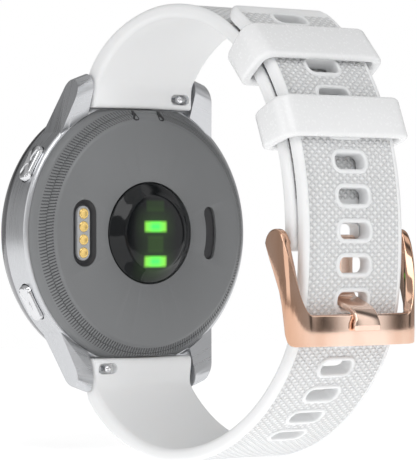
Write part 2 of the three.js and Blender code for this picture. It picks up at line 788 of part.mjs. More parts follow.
function upperStrap() {
  const steps = 34;
  const joinAngle = 1.5;
  const inner = curvePoints(upperInner, lugAngle, joinAngle, steps);
  const outer = curvePoints((a) => upperInner(a) + thicknessAt(a), joinAngle, lugAngle, steps);
  const end = [];
  for (let turn = 150; turn <= 390; turn += 20) {
    end.push(new THREE.Vector2(
      pinY + pinLoopRadius * Math.cos(degToRad(turn)),
      pinZ + pinLoopRadius * Math.sin(degToRad(turn)),
    ));
  }
  const outline = new THREE.Shape([...inner, ...end, ...outer, ...lugEndPoints(1)]);
  const tongueSlot = box(
    tongueWidth + 2 * tongueSidePlay, 6, 4.2, 0, pinY, pinZ - pinLoopRadius + 1.6,
  );
  return solid(acrossX(outline, -bandWidth / 2, bandWidth / 2))
    .subtract(barBoreThroughStrap(1))
    .subtract(solid(rodX(pinRadius + pinClearance, -12, 12, pinY, pinZ)))
    .subtract(solid(tongueSlot));
}
piece('upper_strap', upperStrap(), whiteSilicone);

// ---------------------------------------------------------------- lower strap
// Angles of the adjustment holes, one pitch apart along the middle of the strap.
function holeAngles() {
  const angles = [tongueHoleAngle];
  const middle = strapThickness / 2;
  for (const [direction, count] of [[1, holesTowardsTail], [-1, holesTowardsLug]]) {
    let angle = tongueHoleAngle;
    for (let i = 0; i < count; i += 1) {
      let walked = 0;
      let last = strapFrame(lowerInner, angle, middle).point;
      while (walked < holePitch) {
        angle += direction * 0.1;
        const next = strapFrame(lowerInner, angle, middle).point;
        walked += next.distanceTo(last);
        last = next;
      }
      angles.push(angle);
    }
  }
  return angles;
}

function holeCutter(angle) {
  const { point, tangent } = strapFrame(lowerInner, angle, strapThickness / 2);
  const along = new THREE.Vector3(0, tangent.x, tangent.y);
  const basis = new THREE.Matrix4().makeBasis(axisX, along, axisX.clone().cross(along));
  const prism = extrude(stadium(holeWidth, holeHeight, 6), 2 * strapThickness);
  prism.translate(0, 0, -strapThickness).applyMatrix4(basis);
  return prism.translate(0, point.x, point.y);
}

function lowerStrap() {
  const steps = 52;
  const inner = curvePoints(lowerInner, -lugAngle, tailAngle, steps);
  const outer = curvePoints((a) => lowerInner(a) + thicknessAt(a), tailAngle, -lugAngle, steps);
  const outline = new THREE.Shape([...inner, ...outer, ...lugEndPoints(-1)]);
  const blank = acrossX(outline, -bandWidth / 2, bandWidth / 2);
  const position = blank.attributes.position;
  for (let i = 0; i < position.count; i += 1) {
    const angle = THREE.MathUtils.radToDeg(
      Math.atan2(position.getZ(i), position.getY(i) - loopCentreY),
    );
    const onTail = position.getY(i) > loopCentreY || position.getZ(i) > 0;
    const narrow = onTail ? THREE.MathUtils.smoothstep(angle, -90, -40) : 0;
    const width = THREE.MathUtils.lerp(bandWidth, tailWidth, narrow);
    position.setX(i, (position.getX(i) * width) / bandWidth);
  }
  return solid(blank)
    .subtract(barBoreThroughStrap(-1))
    .subtract(unite(holeAngles().map((angle) => solid(holeCutter(angle)))));
}
piece('lower_strap', lowerStrap(), whiteSilicone);

// ---------------------------------------------------------------- keepers
const stackThickness = 2 * strapThickness + layerGap;
const keeperInnerDepth = stackThickness + 2 * keeperPlay;
const keeperInnerWidth = bandWidth + 2 * keeperSidePlay;

function roundedRect(width, height, radius) {
  const shape = new THREE.Shape();
  const x = width / 2 - radius;
  const y = height / 2 - radius;
  shape.absarc(x, y, radius, 0, Math.PI / 2, false);
  shape.absarc(-x, y, radius, Math.PI / 2, Math.PI, false);
  shape.absarc(-x, -y, radius, Math.PI, Math.PI * 1.5, false);
  shape.absarc(x, -y, radius, Math.PI * 1.5, Math.PI * 2, false);
  shape.closePath();
  return shape;
}

for (const [name, angle] of [['lower_keeper', lowerKeeperAngle], ['upper_keeper', upperKeeperAngle]]) {
  const outline = roundedRect(
    keeperInnerWidth + 2 * keeperSideThickness, keeperInnerDepth + 2 * keeperWallThickness, 1.8,
  );
  outline.holes.push(roundedRect(keeperInnerWidth, keeperInnerDepth, 0.8));
  const loop = new THREE.ExtrudeGeometry(outline, {
    depth: keeperLength, bevelEnabled: false, curveSegments: 5,
  }).translate(0, 0, -keeperLength / 2);
  const mesh = piece(name, loop, glossWhite);
  const { point, tangent } = strapFrame(upperInner, angle, stackThickness / 2);
  mesh.position.set(0, point.x, point.y);
  mesh.rotation.x = Math.atan2(-tangent.x, tangent.y);
}

// ---------------------------------------------------------------- buckle
piece('buckle_pin', rodX(
  pinRadius, -(buckleHalfWidth - 0.35), buckleHalfWidth - 0.35, pinY, pinZ, midTurn,
), roseGold);

function buckleFrame() {
  const innerHalf = buckleHalfWidth - buckleSheet;
  const innerCorner = buckleCorner - buckleSheet;
  const rearY = 40;
  const plan = new THREE.Shape();
  plan.moveTo(buckleHalfWidth, rearY);
  plan.absarc(buckleHalfWidth - buckleCorner, crossbarOuterY - buckleCorner, buckleCorner,
    0, Math.PI / 2, false);
  plan.absarc(-buckleHalfWidth + buckleCorner, crossbarOuterY - buckleCorner, buckleCorner,
    Math.PI / 2, Math.PI, false);
  plan.lineTo(-buckleHalfWidth, rearY);
  plan.lineTo(-innerHalf, rearY);
  plan.absarc(-innerHalf + innerCorner, crossbarOuterY - buckleCorner, innerCorner,
    Math.PI, Math.PI / 2, true);
  plan.absarc(innerHalf - innerCorner, crossbarOuterY - buckleCorner, innerCorner,
    Math.PI / 2, 0, true);
  plan.lineTo(innerHalf, rearY);
  plan.closePath();
  const side = polygon([
    [pinY - armEndRadius, pinZ - 0.4], [43, -4.9], [44.5, -7.8], [45.4, -10.4], [45.7, -12.5],
    [45.9, crossbarBottomZ + 0.7], [46.6, crossbarBottomZ], [crossbarOuterY + 1, crossbarBottomZ],
    [crossbarOuterY + 1, crossbarTopZ], [47.9, -9], [47.4, -6.2], [46.6, -3.6],
    [pinY + armEndRadius - 0.1, pinZ + 0.3],
  ]);
  const sheet = solid(extrude(plan, 30).translate(0, 0, -25));
  const outline = unite([
    solid(acrossX(side, -15, 15)),
    solid(rodX(armEndRadius, -15, 15, pinY, pinZ, midTurn)),
  ]);
  const window = box(2 * innerHalf, 12, 20, 0, 44, crossbarTopZ + 10);
  const pinHole = rodX(
    pinRadius + armClearance, -buckleHalfWidth + 0.25, buckleHalfWidth - 0.25, pinY, pinZ, midTurn,
  );
  return sheet.intersect(outline).subtract(solid(window)).subtract(solid(pinHole));
}
piece('buckle_frame', buckleFrame(), roseGold);

function buckleTongue() {
  const spine = new THREE.SplineCurve([
    [pinY, pinZ - 0.2], [43.3, -5.2], [43.75, -8.25], [45.2, -9.25], [47.2, -9.85], [48.9, -10.7],
    [crossbarOuterY + tongueThickness / 2 + looseGap + 0.05, -12.4],
  ].map(([y, z]) => new THREE.Vector2(y, z)));
  const steps = 22;
  const sideOf = (side) => Array.from({ length: steps + 1 }, (_, i) => {
    const tangent = spine.getTangent(i / steps);
    const normal = new THREE.Vector2(-tangent.y, tangent.x);
    return spine.getPoint(i / steps).addScaledVector(normal, (side * tongueThickness) / 2);
  });
  const outline = new THREE.Shape([...sideOf(1), ...sideOf(-1).reverse()]);
  const half = tongueWidth / 2;
  return solid(acrossX(outline, -half, half))
    .add(solid(rodX(pinLoopRadius, -half, half, pinY, pinZ, midTurn)))
    .subtract(solid(rodX(pinRadius + pinClearance, -half - 1, half + 1, pinY, pinZ, midTurn)));
}
piece('buckle_tongue', buckleTongue(), roseGold);

export default watch;
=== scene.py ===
import math

import bmesh
import bpy
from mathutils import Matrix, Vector


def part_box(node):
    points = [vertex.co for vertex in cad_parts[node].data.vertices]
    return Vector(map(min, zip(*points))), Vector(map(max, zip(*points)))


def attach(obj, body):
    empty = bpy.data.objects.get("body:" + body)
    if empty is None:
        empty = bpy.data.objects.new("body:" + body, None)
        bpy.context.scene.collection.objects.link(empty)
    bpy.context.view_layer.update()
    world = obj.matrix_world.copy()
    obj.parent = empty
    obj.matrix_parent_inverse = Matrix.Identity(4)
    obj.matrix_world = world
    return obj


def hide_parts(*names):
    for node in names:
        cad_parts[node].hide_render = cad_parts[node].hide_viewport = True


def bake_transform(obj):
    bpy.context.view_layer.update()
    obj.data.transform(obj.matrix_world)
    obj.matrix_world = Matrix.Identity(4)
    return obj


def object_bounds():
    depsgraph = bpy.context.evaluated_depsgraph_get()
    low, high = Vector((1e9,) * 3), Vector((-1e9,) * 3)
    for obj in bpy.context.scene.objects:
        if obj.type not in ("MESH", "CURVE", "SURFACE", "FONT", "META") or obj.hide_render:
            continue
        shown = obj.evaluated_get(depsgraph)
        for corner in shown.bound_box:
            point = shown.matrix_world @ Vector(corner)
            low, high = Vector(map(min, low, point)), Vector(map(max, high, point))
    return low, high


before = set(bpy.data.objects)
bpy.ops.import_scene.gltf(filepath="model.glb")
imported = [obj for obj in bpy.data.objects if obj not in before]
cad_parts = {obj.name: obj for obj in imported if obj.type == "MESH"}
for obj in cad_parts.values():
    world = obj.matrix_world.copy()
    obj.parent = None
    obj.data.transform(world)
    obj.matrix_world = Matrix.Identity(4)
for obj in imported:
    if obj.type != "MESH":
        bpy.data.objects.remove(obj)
CAD_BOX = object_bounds()

# Shapes are written in millimetres from the flat back of the watch: x to three o'clock,
# y from the display to the wrist, z to twelve o'clock.
MM = 0.001
BACK_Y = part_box("back_cover")[1][1]


def at(x, y, z):
    return Vector((x * MM, BACK_Y + y * MM, z * MM))


# ---- materials
def put(made, **values):
    """Sets plain values on inputs; an underscore stands for a space in an input's name."""
    for key, value in values.items():
        made.inputs[key.replace("_", " ")].default_value = value


def new_material(name):
    mat = bpy.data.materials.new(name)
    mat.use_nodes = True
    tree = mat.node_tree
    return mat, tree, tree.nodes["Principled BSDF"]


def node(tree, kind, **settings):
    made = tree.nodes.new(kind)
    for key, value in settings.items():
        setattr(made, key, value)
    return made


def feed(tree, target, source):
    """Links a socket, or sets a plain value on it."""
    if isinstance(source, bpy.types.NodeSocket):
        tree.links.new(source, target)
    else:
        target.default_value = source


def math_node(tree, operation, a, b=0.0):
    made = node(tree, "ShaderNodeMath", operation=operation)
    feed(tree, made.inputs[0], a)
    feed(tree, made.inputs[1], b)
    return made.outputs[0]


def plus(tree, a, b):
    return math_node(tree, "ADD", a, b)


def times(tree, a, b):
    return math_node(tree, "MULTIPLY", a, b)


def split_xyz(tree, vector):
    made = node(tree, "ShaderNodeSeparateXYZ")
    feed(tree, made.inputs[0], vector)
    return made.outputs


def object_coords(tree, scale=(1, 1, 1)):
    coords = node(tree, "ShaderNodeTexCoord")
    mapping = node(tree, "ShaderNodeMapping")
    feed(tree, mapping.inputs["Vector"], coords.outputs["Object"])
    put(mapping, Scale=scale)
    return mapping.outputs[0]


def noise(tree, vector, scale, detail, roughness=0.5):
    made = node(tree, "ShaderNodeTexNoise")
    feed(tree, made.inputs["Vector"], vector)
    put(made, Scale=scale, Detail=detail, Roughness=roughness)
    return made.outputs["Fac"]


def map_range(tree, value, low, high, to_low, to_high):
    made = node(tree, "ShaderNodeMapRange")
    feed(tree, made.inputs["Value"], value)
    put(made, From_Min=low, From_Max=high, To_Min=to_low, To_Max=to_high)
    return made.outputs[0]


def mix_colour(tree, factor, first, second):
    made = node(tree, "ShaderNodeMix", data_type="RGBA")
    feed(tree, made.inputs[0], factor)
    feed(tree, made.inputs[6], first)
    feed(tree, made.inputs[7], second)
    return made.outputs[2]


def bump(tree, height, strength, distance, normal=None):
    made = node(tree, "ShaderNodeBump")
    put(made, Strength=strength, Distance=distance)
    feed(tree, made.inputs["Height"], height)
    if normal is not None:
        feed(tree, made.inputs["Normal"], normal)
    return made.outputs[0]


def rgb(r, g, b):
    return (r, g, b, 1.0)


def vary_gloss(tree, shader, source, roughness, less=0.9, more=1.1):
    """Roughness that follows a noise, between two shares of its middle value."""
    feed(tree, shader.inputs["Roughness"],
         map_range(tree, source, 0.3, 0.7, roughness * less, roughness * more))


def surface(name, colour, metallic, roughness, vary, grain=(1500, 0.1, 0.00002), coat=0.0):
    """A finish with slight colour and gloss variation and a fine grain.

    grain is the noise scale, the bump strength and the bump distance in metres."""
    mat, tree, shader = new_material(name)
    coords = object_coords(tree)
    cloudy = noise(tree, coords, 90.0, 3.0)
    dark = rgb(*[channel * (1 - vary) for channel in colour])
    light = rgb(*[min(1.0, channel * (1 + vary)) for channel in colour])
    feed(tree, shader.inputs["Base Color"], mix_colour(tree, cloudy, dark, light))
    put(shader, Metallic=metallic, Coat_Weight=coat, Coat_Roughness=0.05)
    fine = noise(tree, coords, grain[0], 2.0)
    vary_gloss(tree, shader, fine, roughness)
    feed(tree, shader.inputs["Normal"], bump(tree, fine, grain[1], grain[2]))
    return mat


WEAVE_ACROSS = 1.25
WEAVE_ALONG = 1.0


def silicone(name, roughness, textured=False, depth=0.12):
    mat, tree, shader = new_material(name)
    coords = object_coords(tree)
    cloudy = noise(tree, coords, 60.0, 3.0)
    put(shader, Subsurface_Weight=depth, Subsurface_Radius=(0.0012, 0.0011, 0.001), Subsurface_Scale=1.0)
    fine = noise(tree, coords, 2500.0, 2.0)
    grain = bump(tree, fine, 0.03, 0.000001)
    pale = mix_colour(tree, cloudy, rgb(0.88, 0.885, 0.89), rgb(0.92, 0.925, 0.93))
    if not textured:
        feed(tree, shader.inputs["Base Color"], pale)
        vary_gloss(tree, shader, fine, roughness)
        feed(tree, shader.inputs["Normal"], grain)
        return mat
    height = weave_height(tree)
    # Painted shade: the weave's low ground is a darker grey than its raised lozenges.
    feed(tree, shader.inputs["Base Color"],
         mix_colour(tree, height, rgb(0.71, 0.715, 0.72), pale))
    put(shader, Roughness=roughness)
    feed(tree, shader.inputs["Normal"], bump(tree, height, 0.9, 0.00018, grain))
    return mat


def weave_height(tree):
    """Rows of staggered raised lozenges, from the UV map, which is in millimetres."""
    uv = split_xyz(tree, node(tree, "ShaderNodeTexCoord").outputs["UV"])
    across = times(tree, uv[0], 1 / WEAVE_ACROSS)
    along = times(tree, uv[1], 1 / WEAVE_ALONG)
    rising = plus(tree, across, along)
    falling = math_node(tree, "SUBTRACT", across, along)
    ridges = []
    for direction in (rising, falling):
        wave = math_node(tree, "PINGPONG", direction, 0.5)
        ridges.append(map_range(tree, wave, 0.06, 0.3, 0.0, 1.0))
    return times(tree, ridges[0], ridges[1])


def brushed(name, colour, roughness):
    """Metal brushed round the case, with fine lines that follow the rim."""
    mat, tree, shader = new_material(name)
    lines = noise(tree, object_coords(tree, (1, 40, 1)), 110.0, 4.0, 0.6)
    feed(tree, shader.inputs["Base Color"], mix_colour(
        tree, lines, rgb(*[c * 0.82 for c in colour]), rgb(*colour)))
    put(shader, Metallic=1.0, Anisotropic=0.4)
    vary_gloss(tree, shader, lines, roughness, 0.8, 1.25)
    feed(tree, shader.inputs["Normal"], bump(tree, lines, 0.12, 0.00003))
    return mat


def polished(name, colour, roughness):
    return surface(name, colour, 1.0, roughness, 0.04, (700, 0.03, 0.00001))


def gold_with_painted_side_shade(name, pale, side_shade, roughness):
    """Polished plating, pale in the middle of the buckle and with painted shade at its sides, where it
    turns deeper and redder; a noise adds some random tone.
    """
    mat, tree, shader = new_material(name)
    place = split_xyz(tree, node(tree, "ShaderNodeTexCoord").outputs["Object"])
    cloudy = noise(tree, object_coords(tree, (1, 1, 0.35)), 260.0, 2.0)
    side = math_node(tree, "ABSOLUTE", place[0])
    # Painted shade: the share of the darker, redder colour grows towards the sides.
    share = plus(tree, map_range(tree, side, 3 * MM, 11 * MM, 0.0, 0.75),
                      map_range(tree, cloudy, 0.3, 0.7, -0.15, 0.25))
    feed(tree, shader.inputs["Base Color"],
         mix_colour(tree, map_range(tree, share, 0.0, 1.0, 0.0, 1.0), rgb(*pale), rgb(*side_shade)))
    put(shader, Metallic=1.0)
    fine = noise(tree, object_coords(tree), 900.0, 2.0)
    vary_gloss(tree, shader, fine, roughness, 0.85, 1.2)
    feed(tree, shader.inputs["Normal"], bump(tree, fine, 0.03, 0.00001))
    return mat


LED_Z = (0.95, -4.2)
OXIMETER_Z = 4.0


def sensor_glass(name):
    """Black glass with two green light sources, a painted glow in the glass round each, and dark detectors
    lying under it, painted with a faint green glow.
    """
    mat, tree, shader = new_material(name)
    coords = node(tree, "ShaderNodeTexCoord").outputs["Object"]
    x, _, z = split_xyz(tree, coords)

    def patch(centre_z, width, height, soft):
        dx = math_node(tree, "ABSOLUTE", x)
        dz = math_node(tree, "ABSOLUTE", math_node(tree, "SUBTRACT", z, centre_z * MM))
        in_x = map_range(tree, dx, (width / 2 + soft) * MM, (width / 2 - soft) * MM, 0.0, 1.0)
        in_z = map_range(tree, dz, (height / 2 + soft) * MM, (height / 2 - soft) * MM, 0.0, 1.0)
        return times(tree, in_x, in_z)

    lit = None
    for centre_z in LED_Z:
        core = patch(centre_z, 3.9, 1.5, 0.25)
        hot = times(tree, patch(centre_z, 2.2, 0.9, 0.5), 0.8)
        # Painted glow: a faint halo of emission in the glass round each light.
        glow = times(tree, patch(centre_z, 4.6, 3.2, 1.6), 0.06)
        total = plus(tree, plus(tree, core, hot), glow)
        lit = total if lit is None else plus(tree, lit, total)
    # Painted light: faint emission over the detectors and the oximeter window, which are no lamps.
    painted_detector_glow = times(tree, patch(sum(LED_Z) / 2, 2.8, 2.4, 0.2), 0.035)
    upper = times(tree, patch(OXIMETER_Z, 3.2, 1.6, 0.2), 0.03)
    lit = plus(tree, lit, plus(tree, painted_detector_glow, upper))
    speckle = noise(tree, coords, 900.0, 2.0)
    put(shader, Base_Color=rgb(0.004, 0.005, 0.006), Specular_IOR_Level=0.22, Coat_Weight=0.25,
        Coat_Roughness=0.04)
    feed(tree, shader.inputs["Roughness"], map_range(tree, speckle, 0.3, 0.7, 0.1, 0.13))
    middle = plus(tree, patch(LED_Z[0], 2.4, 1.6, 0.7), patch(LED_Z[1], 2.4, 1.6, 0.7))
    feed(tree, shader.inputs["Emission Color"],
         mix_colour(tree, middle, rgb(0.3, 0.9, 0.08), rgb(0.05, 1.0, 0.1)))
    feed(tree, shader.inputs["Emission Strength"], times(tree, lit, 0.95))
    return mat


SILVER = brushed("silver_brushed", (0.66, 0.67, 0.69), 0.3)
SILVER_POLISHED = polished("silver_polished", (0.74, 0.745, 0.76), 0.16)
CHROME = polished("bright_chrome", (0.9, 0.9, 0.92), 0.08)
# Painted dark reflection: the polished bezel metal gets a dark colour.
RIM_PAINTED_REFLECTION = surface("rim_painted_dark_reflection", (0.3, 0.3, 0.31), 1.0, 0.2, 0.06, (900, 0.03, 0.00001))
BLACK_GLASS = surface("black_glass", (0.006, 0.006, 0.008), 0.0, 0.06, 0.2, (300, 0.02, 0.00001), coat=1.0)
GREY_SHELL = surface("grey_shell", (0.2, 0.205, 0.21), 0.15, 0.42, 0.04, (5000, 0.35, 0.00002))
# Painted shade for the knurl's valleys.
SHELL_VALLEY_SHADE = surface("shell_valley_painted_shade", (0.07, 0.072, 0.075), 0.0, 0.5, 0.05)
# Near-black painted shade for the dents in the shoulder.
RECESS_SHADE = surface("recess_painted_shade", (0.02, 0.02, 0.022), 0.0, 0.6, 0.1)
SMOOTH_SILICONE = silicone("silicone_smooth", 0.46)
WOVEN_SILICONE = silicone("silicone_woven", 0.55, textured=True)
GLOSS_SILICONE = silicone("silicone_gloss", 0.26, depth=0.0)
# Rose gold with painted shade towards the buckle's sides.
ROSE_GOLD = gold_with_painted_side_shade("rose_gold", (0.93, 0.7, 0.58), (0.6, 0.34, 0.22), 0.1)
GOLD = polished("contact_gold", (0.95, 0.68, 0.25), 0.22)
STEEL = brushed("bar_steel", (0.62, 0.63, 0.65), 0.28)
RUBBER = surface("seal_rubber", (0.02, 0.02, 0.02), 0.0, 0.8, 0.15)
# Black plastic parts; also painted shade on the contact recess's wall.
BLACK_PLASTIC_AND_SHADE = surface("black_plastic", (0.03, 0.03, 0.033), 0.0, 0.5, 0.1)
PALE_PLASTIC = surface("pale_plastic", (0.42, 0.43, 0.44), 0.0, 0.45, 0.05)
BOARD = surface("board", (0.02, 0.16, 0.07), 0.0, 0.4, 0.2, (400, 0.2, 0.00003))
FOIL = surface("cell_foil", (0.6, 0.62, 0.64), 0.7, 0.35, 0.08, (300, 0.3, 0.00005))
SENSOR_GLASS = sensor_glass("sensor_glass")
LED = surface("led_lens", (0.15, 0.75, 0.35), 0.0, 0.3, 0.1)


# ---- mesh helpers

BAND_SKINS = [SMOOTH_SILICONE, WOVEN_SILICONE]
SHELL_SKINS = [GREY_SHELL, RECESS_SHADE]
METALS = [SILVER, SILVER_POLISHED]


def link_object(name, data):
    obj = bpy.data.objects.new(name, data)
    bpy.context.scene.collection.objects.link(obj)
    return obj


def make_object(name, points, faces, materials, face_materials=None, uvs=None, smooth=30):
    mesh = bpy.data.meshes.new(name)
    mesh.from_pydata([at(*p) for p in points], [], faces)
    for mat in materials:
        mesh.materials.append(mat)
    if face_materials:
        for polygon, index in zip(mesh.polygons, face_materials):
            polygon.material_index = index
    if uvs:
        layer = mesh.uv_layers.new(name="millimetres")
        for loop in mesh.loops:
            layer.data[loop.index].uv = uvs[loop.vertex_index]
    mesh.validate()
    obj = link_object(name, mesh)
    point_outward(obj)
    soften(obj, smooth)
    return obj


def point_outward(obj):
    bm = bmesh.new()
    bm.from_mesh(obj.data)
    bmesh.ops.remove_doubles(bm, verts=bm.verts, dist=1e-7)
    bmesh.ops.recalc_face_normals(bm, faces=bm.faces)
    bm.to_mesh(obj.data)
    bm.free()


def soften(obj, degrees):
    """Smooth shading, broken at edges sharper than the given angle."""
    bm = bmesh.new()
    bm.from_mesh(obj.data)
    limit = math.radians(degrees)
    for face in bm.faces:
        face.smooth = True
    for edge in bm.edges:
        edge.smooth = len(edge.link_faces) == 2 and edge.calc_face_angle(0.0) < limit
    bm.to_mesh(obj.data)
    bm.free()


def settle(obj):
    """Applies the object's modifiers to its mesh."""
    depsgraph = bpy.context.evaluated_depsgraph_get()
    mesh = bpy.data.meshes.new_from_object(obj.evaluated_get(depsgraph))
    obj.modifiers.clear()
    obj.data = mesh


def boolean(obj, tool, operation="DIFFERENCE"):
    modifier = obj.modifiers.new("cut", "BOOLEAN")
    modifier.operation = operation
    modifier.solver = "MANIFOLD"
    modifier.object = tool
    settle(obj)
    bpy.data.objects.remove(tool)


def bevel(obj, width, segments, angle, material=-1):
    modifier = obj.modifiers.new("edge", "BEVEL")
    modifier.material = material
    modifier.width = width * MM
    modifier.segments = segments
    modifier.limit_method = "ANGLE"
    modifier.angle_limit = math.radians(angle)
    modifier.use_clamp_overlap = True
    settle(obj)


def join(name, objects):
    """Joins objects into the first one, keeping every material."""
    first = objects[0]
    with bpy.context.temp_override(active_object=first, selected_editable_objects=objects):
        bpy.ops.object.join()
    first.name = name
    return first


def shift(obj, x, z):
    """Moves a mesh within its object, by millimetres."""
    for vertex in obj.data.vertices:
        vertex.co.x += x * MM
        vertex.co.z += z * MM


def paint_whole(obj, index):
    for polygon in obj.data.polygons:
        polygon.material_index = index


def lathe(name, profile, materials, steps):
    """A closed solid turned about the case axis; profile is [radius, y] pairs."""
    points = []
    for r, y in profile:
        for i in range(steps):
            turn = 2 * math.pi * i / steps
            points.append((r * math.cos(turn), y, r * math.sin(turn)))
    rows = len(profile)
    closed = profile[0][0] > 0
    faces = []
    for row in range(rows if closed else rows - 1):
        nxt = (row + 1) % rows
        for i in range(steps):
            j = (i + 1) % steps
            faces.append((row * steps + i, row * steps + j, nxt * steps + j, nxt * steps + i))
    return make_object(name, points, faces, materials)


def prism(name, outline, low, high, materials, plane):
    """An outline extruded from low to high. plane is 'yz' or 'xz'."""
    place = {"yz": lambda a, b, c: (c, a, b), "xz": lambda a, b, c: (a, c, b)}[plane]
    count = len(outline)
    points = [place(a, b, low) for a, b in outline] + [place(a, b, high) for a, b in outline]
    faces = [tuple(range(count)), tuple(range(count, 2 * count))]
    for i in range(count):
        j = (i + 1) % count
        faces.append((i, j, count + j, count + i))
    return make_object(name, points, faces, materials)


def arc(cx, cy, radius, start, stop, steps):
    turns = [math.radians(start + (stop - start) * i / steps) for i in range(steps + 1)]
    return [(cx + radius * math.cos(turn), cy + radius * math.sin(turn)) for turn in turns]


def stadium(width, height, steps=12):
    """A slot with round ends; the long side may be either."""
    r = min(width, height) / 2
    dx, dy = width / 2 - r, height / 2 - r
    if dx > 0:
        return arc(dx, 0, r, -90, 90, steps) + arc(-dx, 0, r, 90, 270, steps)
    return arc(0, dy, r, 0, 180, steps) + arc(0, -dy, r, 180, 360, steps)


def round_rect(width, height, radius, steps):
    x, y = width / 2 - radius, height / 2 - radius
    return (arc(x, -y, radius, -90, 0, steps) + arc(x, y, radius, 0, 90, steps)
            + arc(-x, y, radius, 90, 180, steps) + arc(-x, -y, radius, 180, 270, steps))


def loft(name, loops, materials, closed_ends=True, smooth=35, around=False):
    """Skins loops of equal length. around joins the last loop to the first."""
    count = len(loops[0])
    points = [point for loop in loops for point in loop]
    faces = []
    spans = len(loops) if around else len(loops) - 1
    for row in range(spans):
        nxt = (row + 1) % len(loops)
        for i in range(count):
            j = (i + 1) % count
            faces.append((row * count + i, row * count + j, nxt * count + j, nxt * count + i))
    if closed_ends and not around:
        faces.append(tuple(range(count)))
        faces.append(tuple(range((len(loops) - 1) * count, len(loops) * count)))
    return make_object(name, points, faces, materials, smooth=smooth)


# ---- band shape
# The closed band is described by its inner radius about a centre in the (y, z) plane.
LOOP_Y = 16.0
LOOP_R = 30.4
FLATTENING = 4.0
FLAT_ABOVE = 80
FLAT_BELOW = 36
SIDE_ANGLE = 90
UPPER_DRAW_IN = 2.4
LOWER_DRAW_IN = 1.6
LUG_ANGLE = 127
TAIL_ANGLE = 67
THICKNESS = 2.0
END_THICKNESS = 2.8
THICKENING_ANGLE = 98
NARROW_ANGLE = -40
LAYER_GAP = 0.3
BAND_HALF = 9.0
TAIL_HALF = 8.65
BAR_Y = -2.75
BAR_Z = 19.95
KNOB_X = 6.6
KNOB_SLOT = (3.4, 1.6)
PIN_Y = LOOP_Y + LOOP_R - FLATTENING + THICKNESS / 2 - 0.05
PIN_Z = -1.3
PIN_LOOP = 1.15
TONGUE_SLOT = (5.3, 4.2)
HOLE_ANGLE = -17.2
HOLE_PITCH = 4.65
HOLE_SIZE = (5.2, 2.2)
HOLE_CORNER = 0.9
HOLES_TO_TAIL = 9
HOLES_TO_LUG = 5
BORDER = 0.85
WEAVE_SINK = 0.13
WEAVE_END = 112
TAIL_ROUND = 2.4
TAIL_RADIUS = 32.0
TAIL_PER_DEGREE = 0.56


def smoothstep(value, low, high):
    t = min(1.0, max(0.0, (value - low) / (high - low)))
    return t * t * (3 - 2 * t)


def upper_inner(angle):
    """Inner radius of the upper strap, flattened at the wrist's far side."""
    if angle > SIDE_ANGLE:
        return LOOP_R - UPPER_DRAW_IN * ((angle - SIDE_ANGLE) / (LUG_ANGLE - SIDE_ANGLE)) ** 2
    if angle > FLAT_ABOVE:
        return LOOP_R
    return LOOP_R - FLATTENING * math.cos(math.radians(angle * 90 / FLAT_ABOVE)) ** 2


def lower_inner(angle):
    """Inner radius of the lower strap, which lies on the upper one above the buckle."""
    step = THICKNESS + LAYER_GAP
    if angle > 0:
        return upper_inner(angle) + step
    if angle > -FLAT_BELOW:
        return LOOP_R - (FLATTENING - step) * math.cos(math.radians(angle * 90 / FLAT_BELOW)) ** 2
    if angle > -SIDE_ANGLE:
        return LOOP_R
    return LOOP_R - LOWER_DRAW_IN * ((-SIDE_ANGLE - angle) / (LUG_ANGLE - SIDE_ANGLE)) ** 2


def loop_point(angle, radius):
    turn = math.radians(angle)
    return Vector((LOOP_Y + radius * math.cos(turn), radius * math.sin(turn)))


def band_frame(inner_at, angle, depth):
    """A point of a strap, the way that the angle rises, and the way out of the loop."""
    point = loop_point(angle, inner_at(angle) + depth)
    ahead = loop_point(angle + 0.4, inner_at(angle + 0.4) + depth)
    behind = loop_point(angle - 0.4, inner_at(angle - 0.4) + depth)
    along = (ahead - behind).normalized()
    return point, along, Vector((along.y, -along.x))


def thickness_at(angle):
    return THICKNESS + (END_THICKNESS - THICKNESS) * smoothstep(abs(angle), THICKENING_ANGLE, LUG_ANGLE)


def both_faces(inner_at, angle, thickness, shrink=0.0):
    """The strap's inner and outer point at an angle, each drawn in by shrink."""
    radius = inner_at(angle)
    return loop_point(angle, radius + shrink), loop_point(angle, radius + thickness - shrink)


def ease_between(start, goal, leaving, arriving, share):
    """A point on the smooth curve that leaves start and reaches goal in the given directions."""
    reach = (goal - start).length
    two, three = share ** 2, share ** 3
    return (start * (2 * three - 3 * two + 1) + leaving * reach * (three - 2 * two + share)
            + goal * (3 * two - 2 * three) + arriving * reach * (three - two))


def lug_end(side, inner_at):
    """Stations of the thick end that holds the spring bar, from the case to the curved band."""
    steps = 8
    inner_y = BAR_Y + END_THICKNESS / 2
    outer_y = inner_y - END_THICKNESS
    angle = side * LUG_ANGLE
    down = Vector((0, -side))
    pairs = []
    for depth, goal in ((0.0, (inner_y, side * 19.4)), (END_THICKNESS, (outer_y, side * 19.6))):
        start = loop_point(angle, inner_at(angle) + depth)
        before = loop_point(angle - side, inner_at(angle - side) + depth)
        leaving = (start - before).normalized()
        pairs.append([ease_between(start, Vector(goal), leaving, down, k / steps)
                      for k in range(1, steps + 1)])
    rounded = [(Vector((inner_y - back, side * z)), Vector((outer_y + back, side * z)))
               for back, z in ((0.02, 18.95), (0.17, 18.6), (0.5, 18.45))]
    return [(a, b, BAND_HALF, False) for a, b in reversed(list(zip(*pairs)) + rounded)]


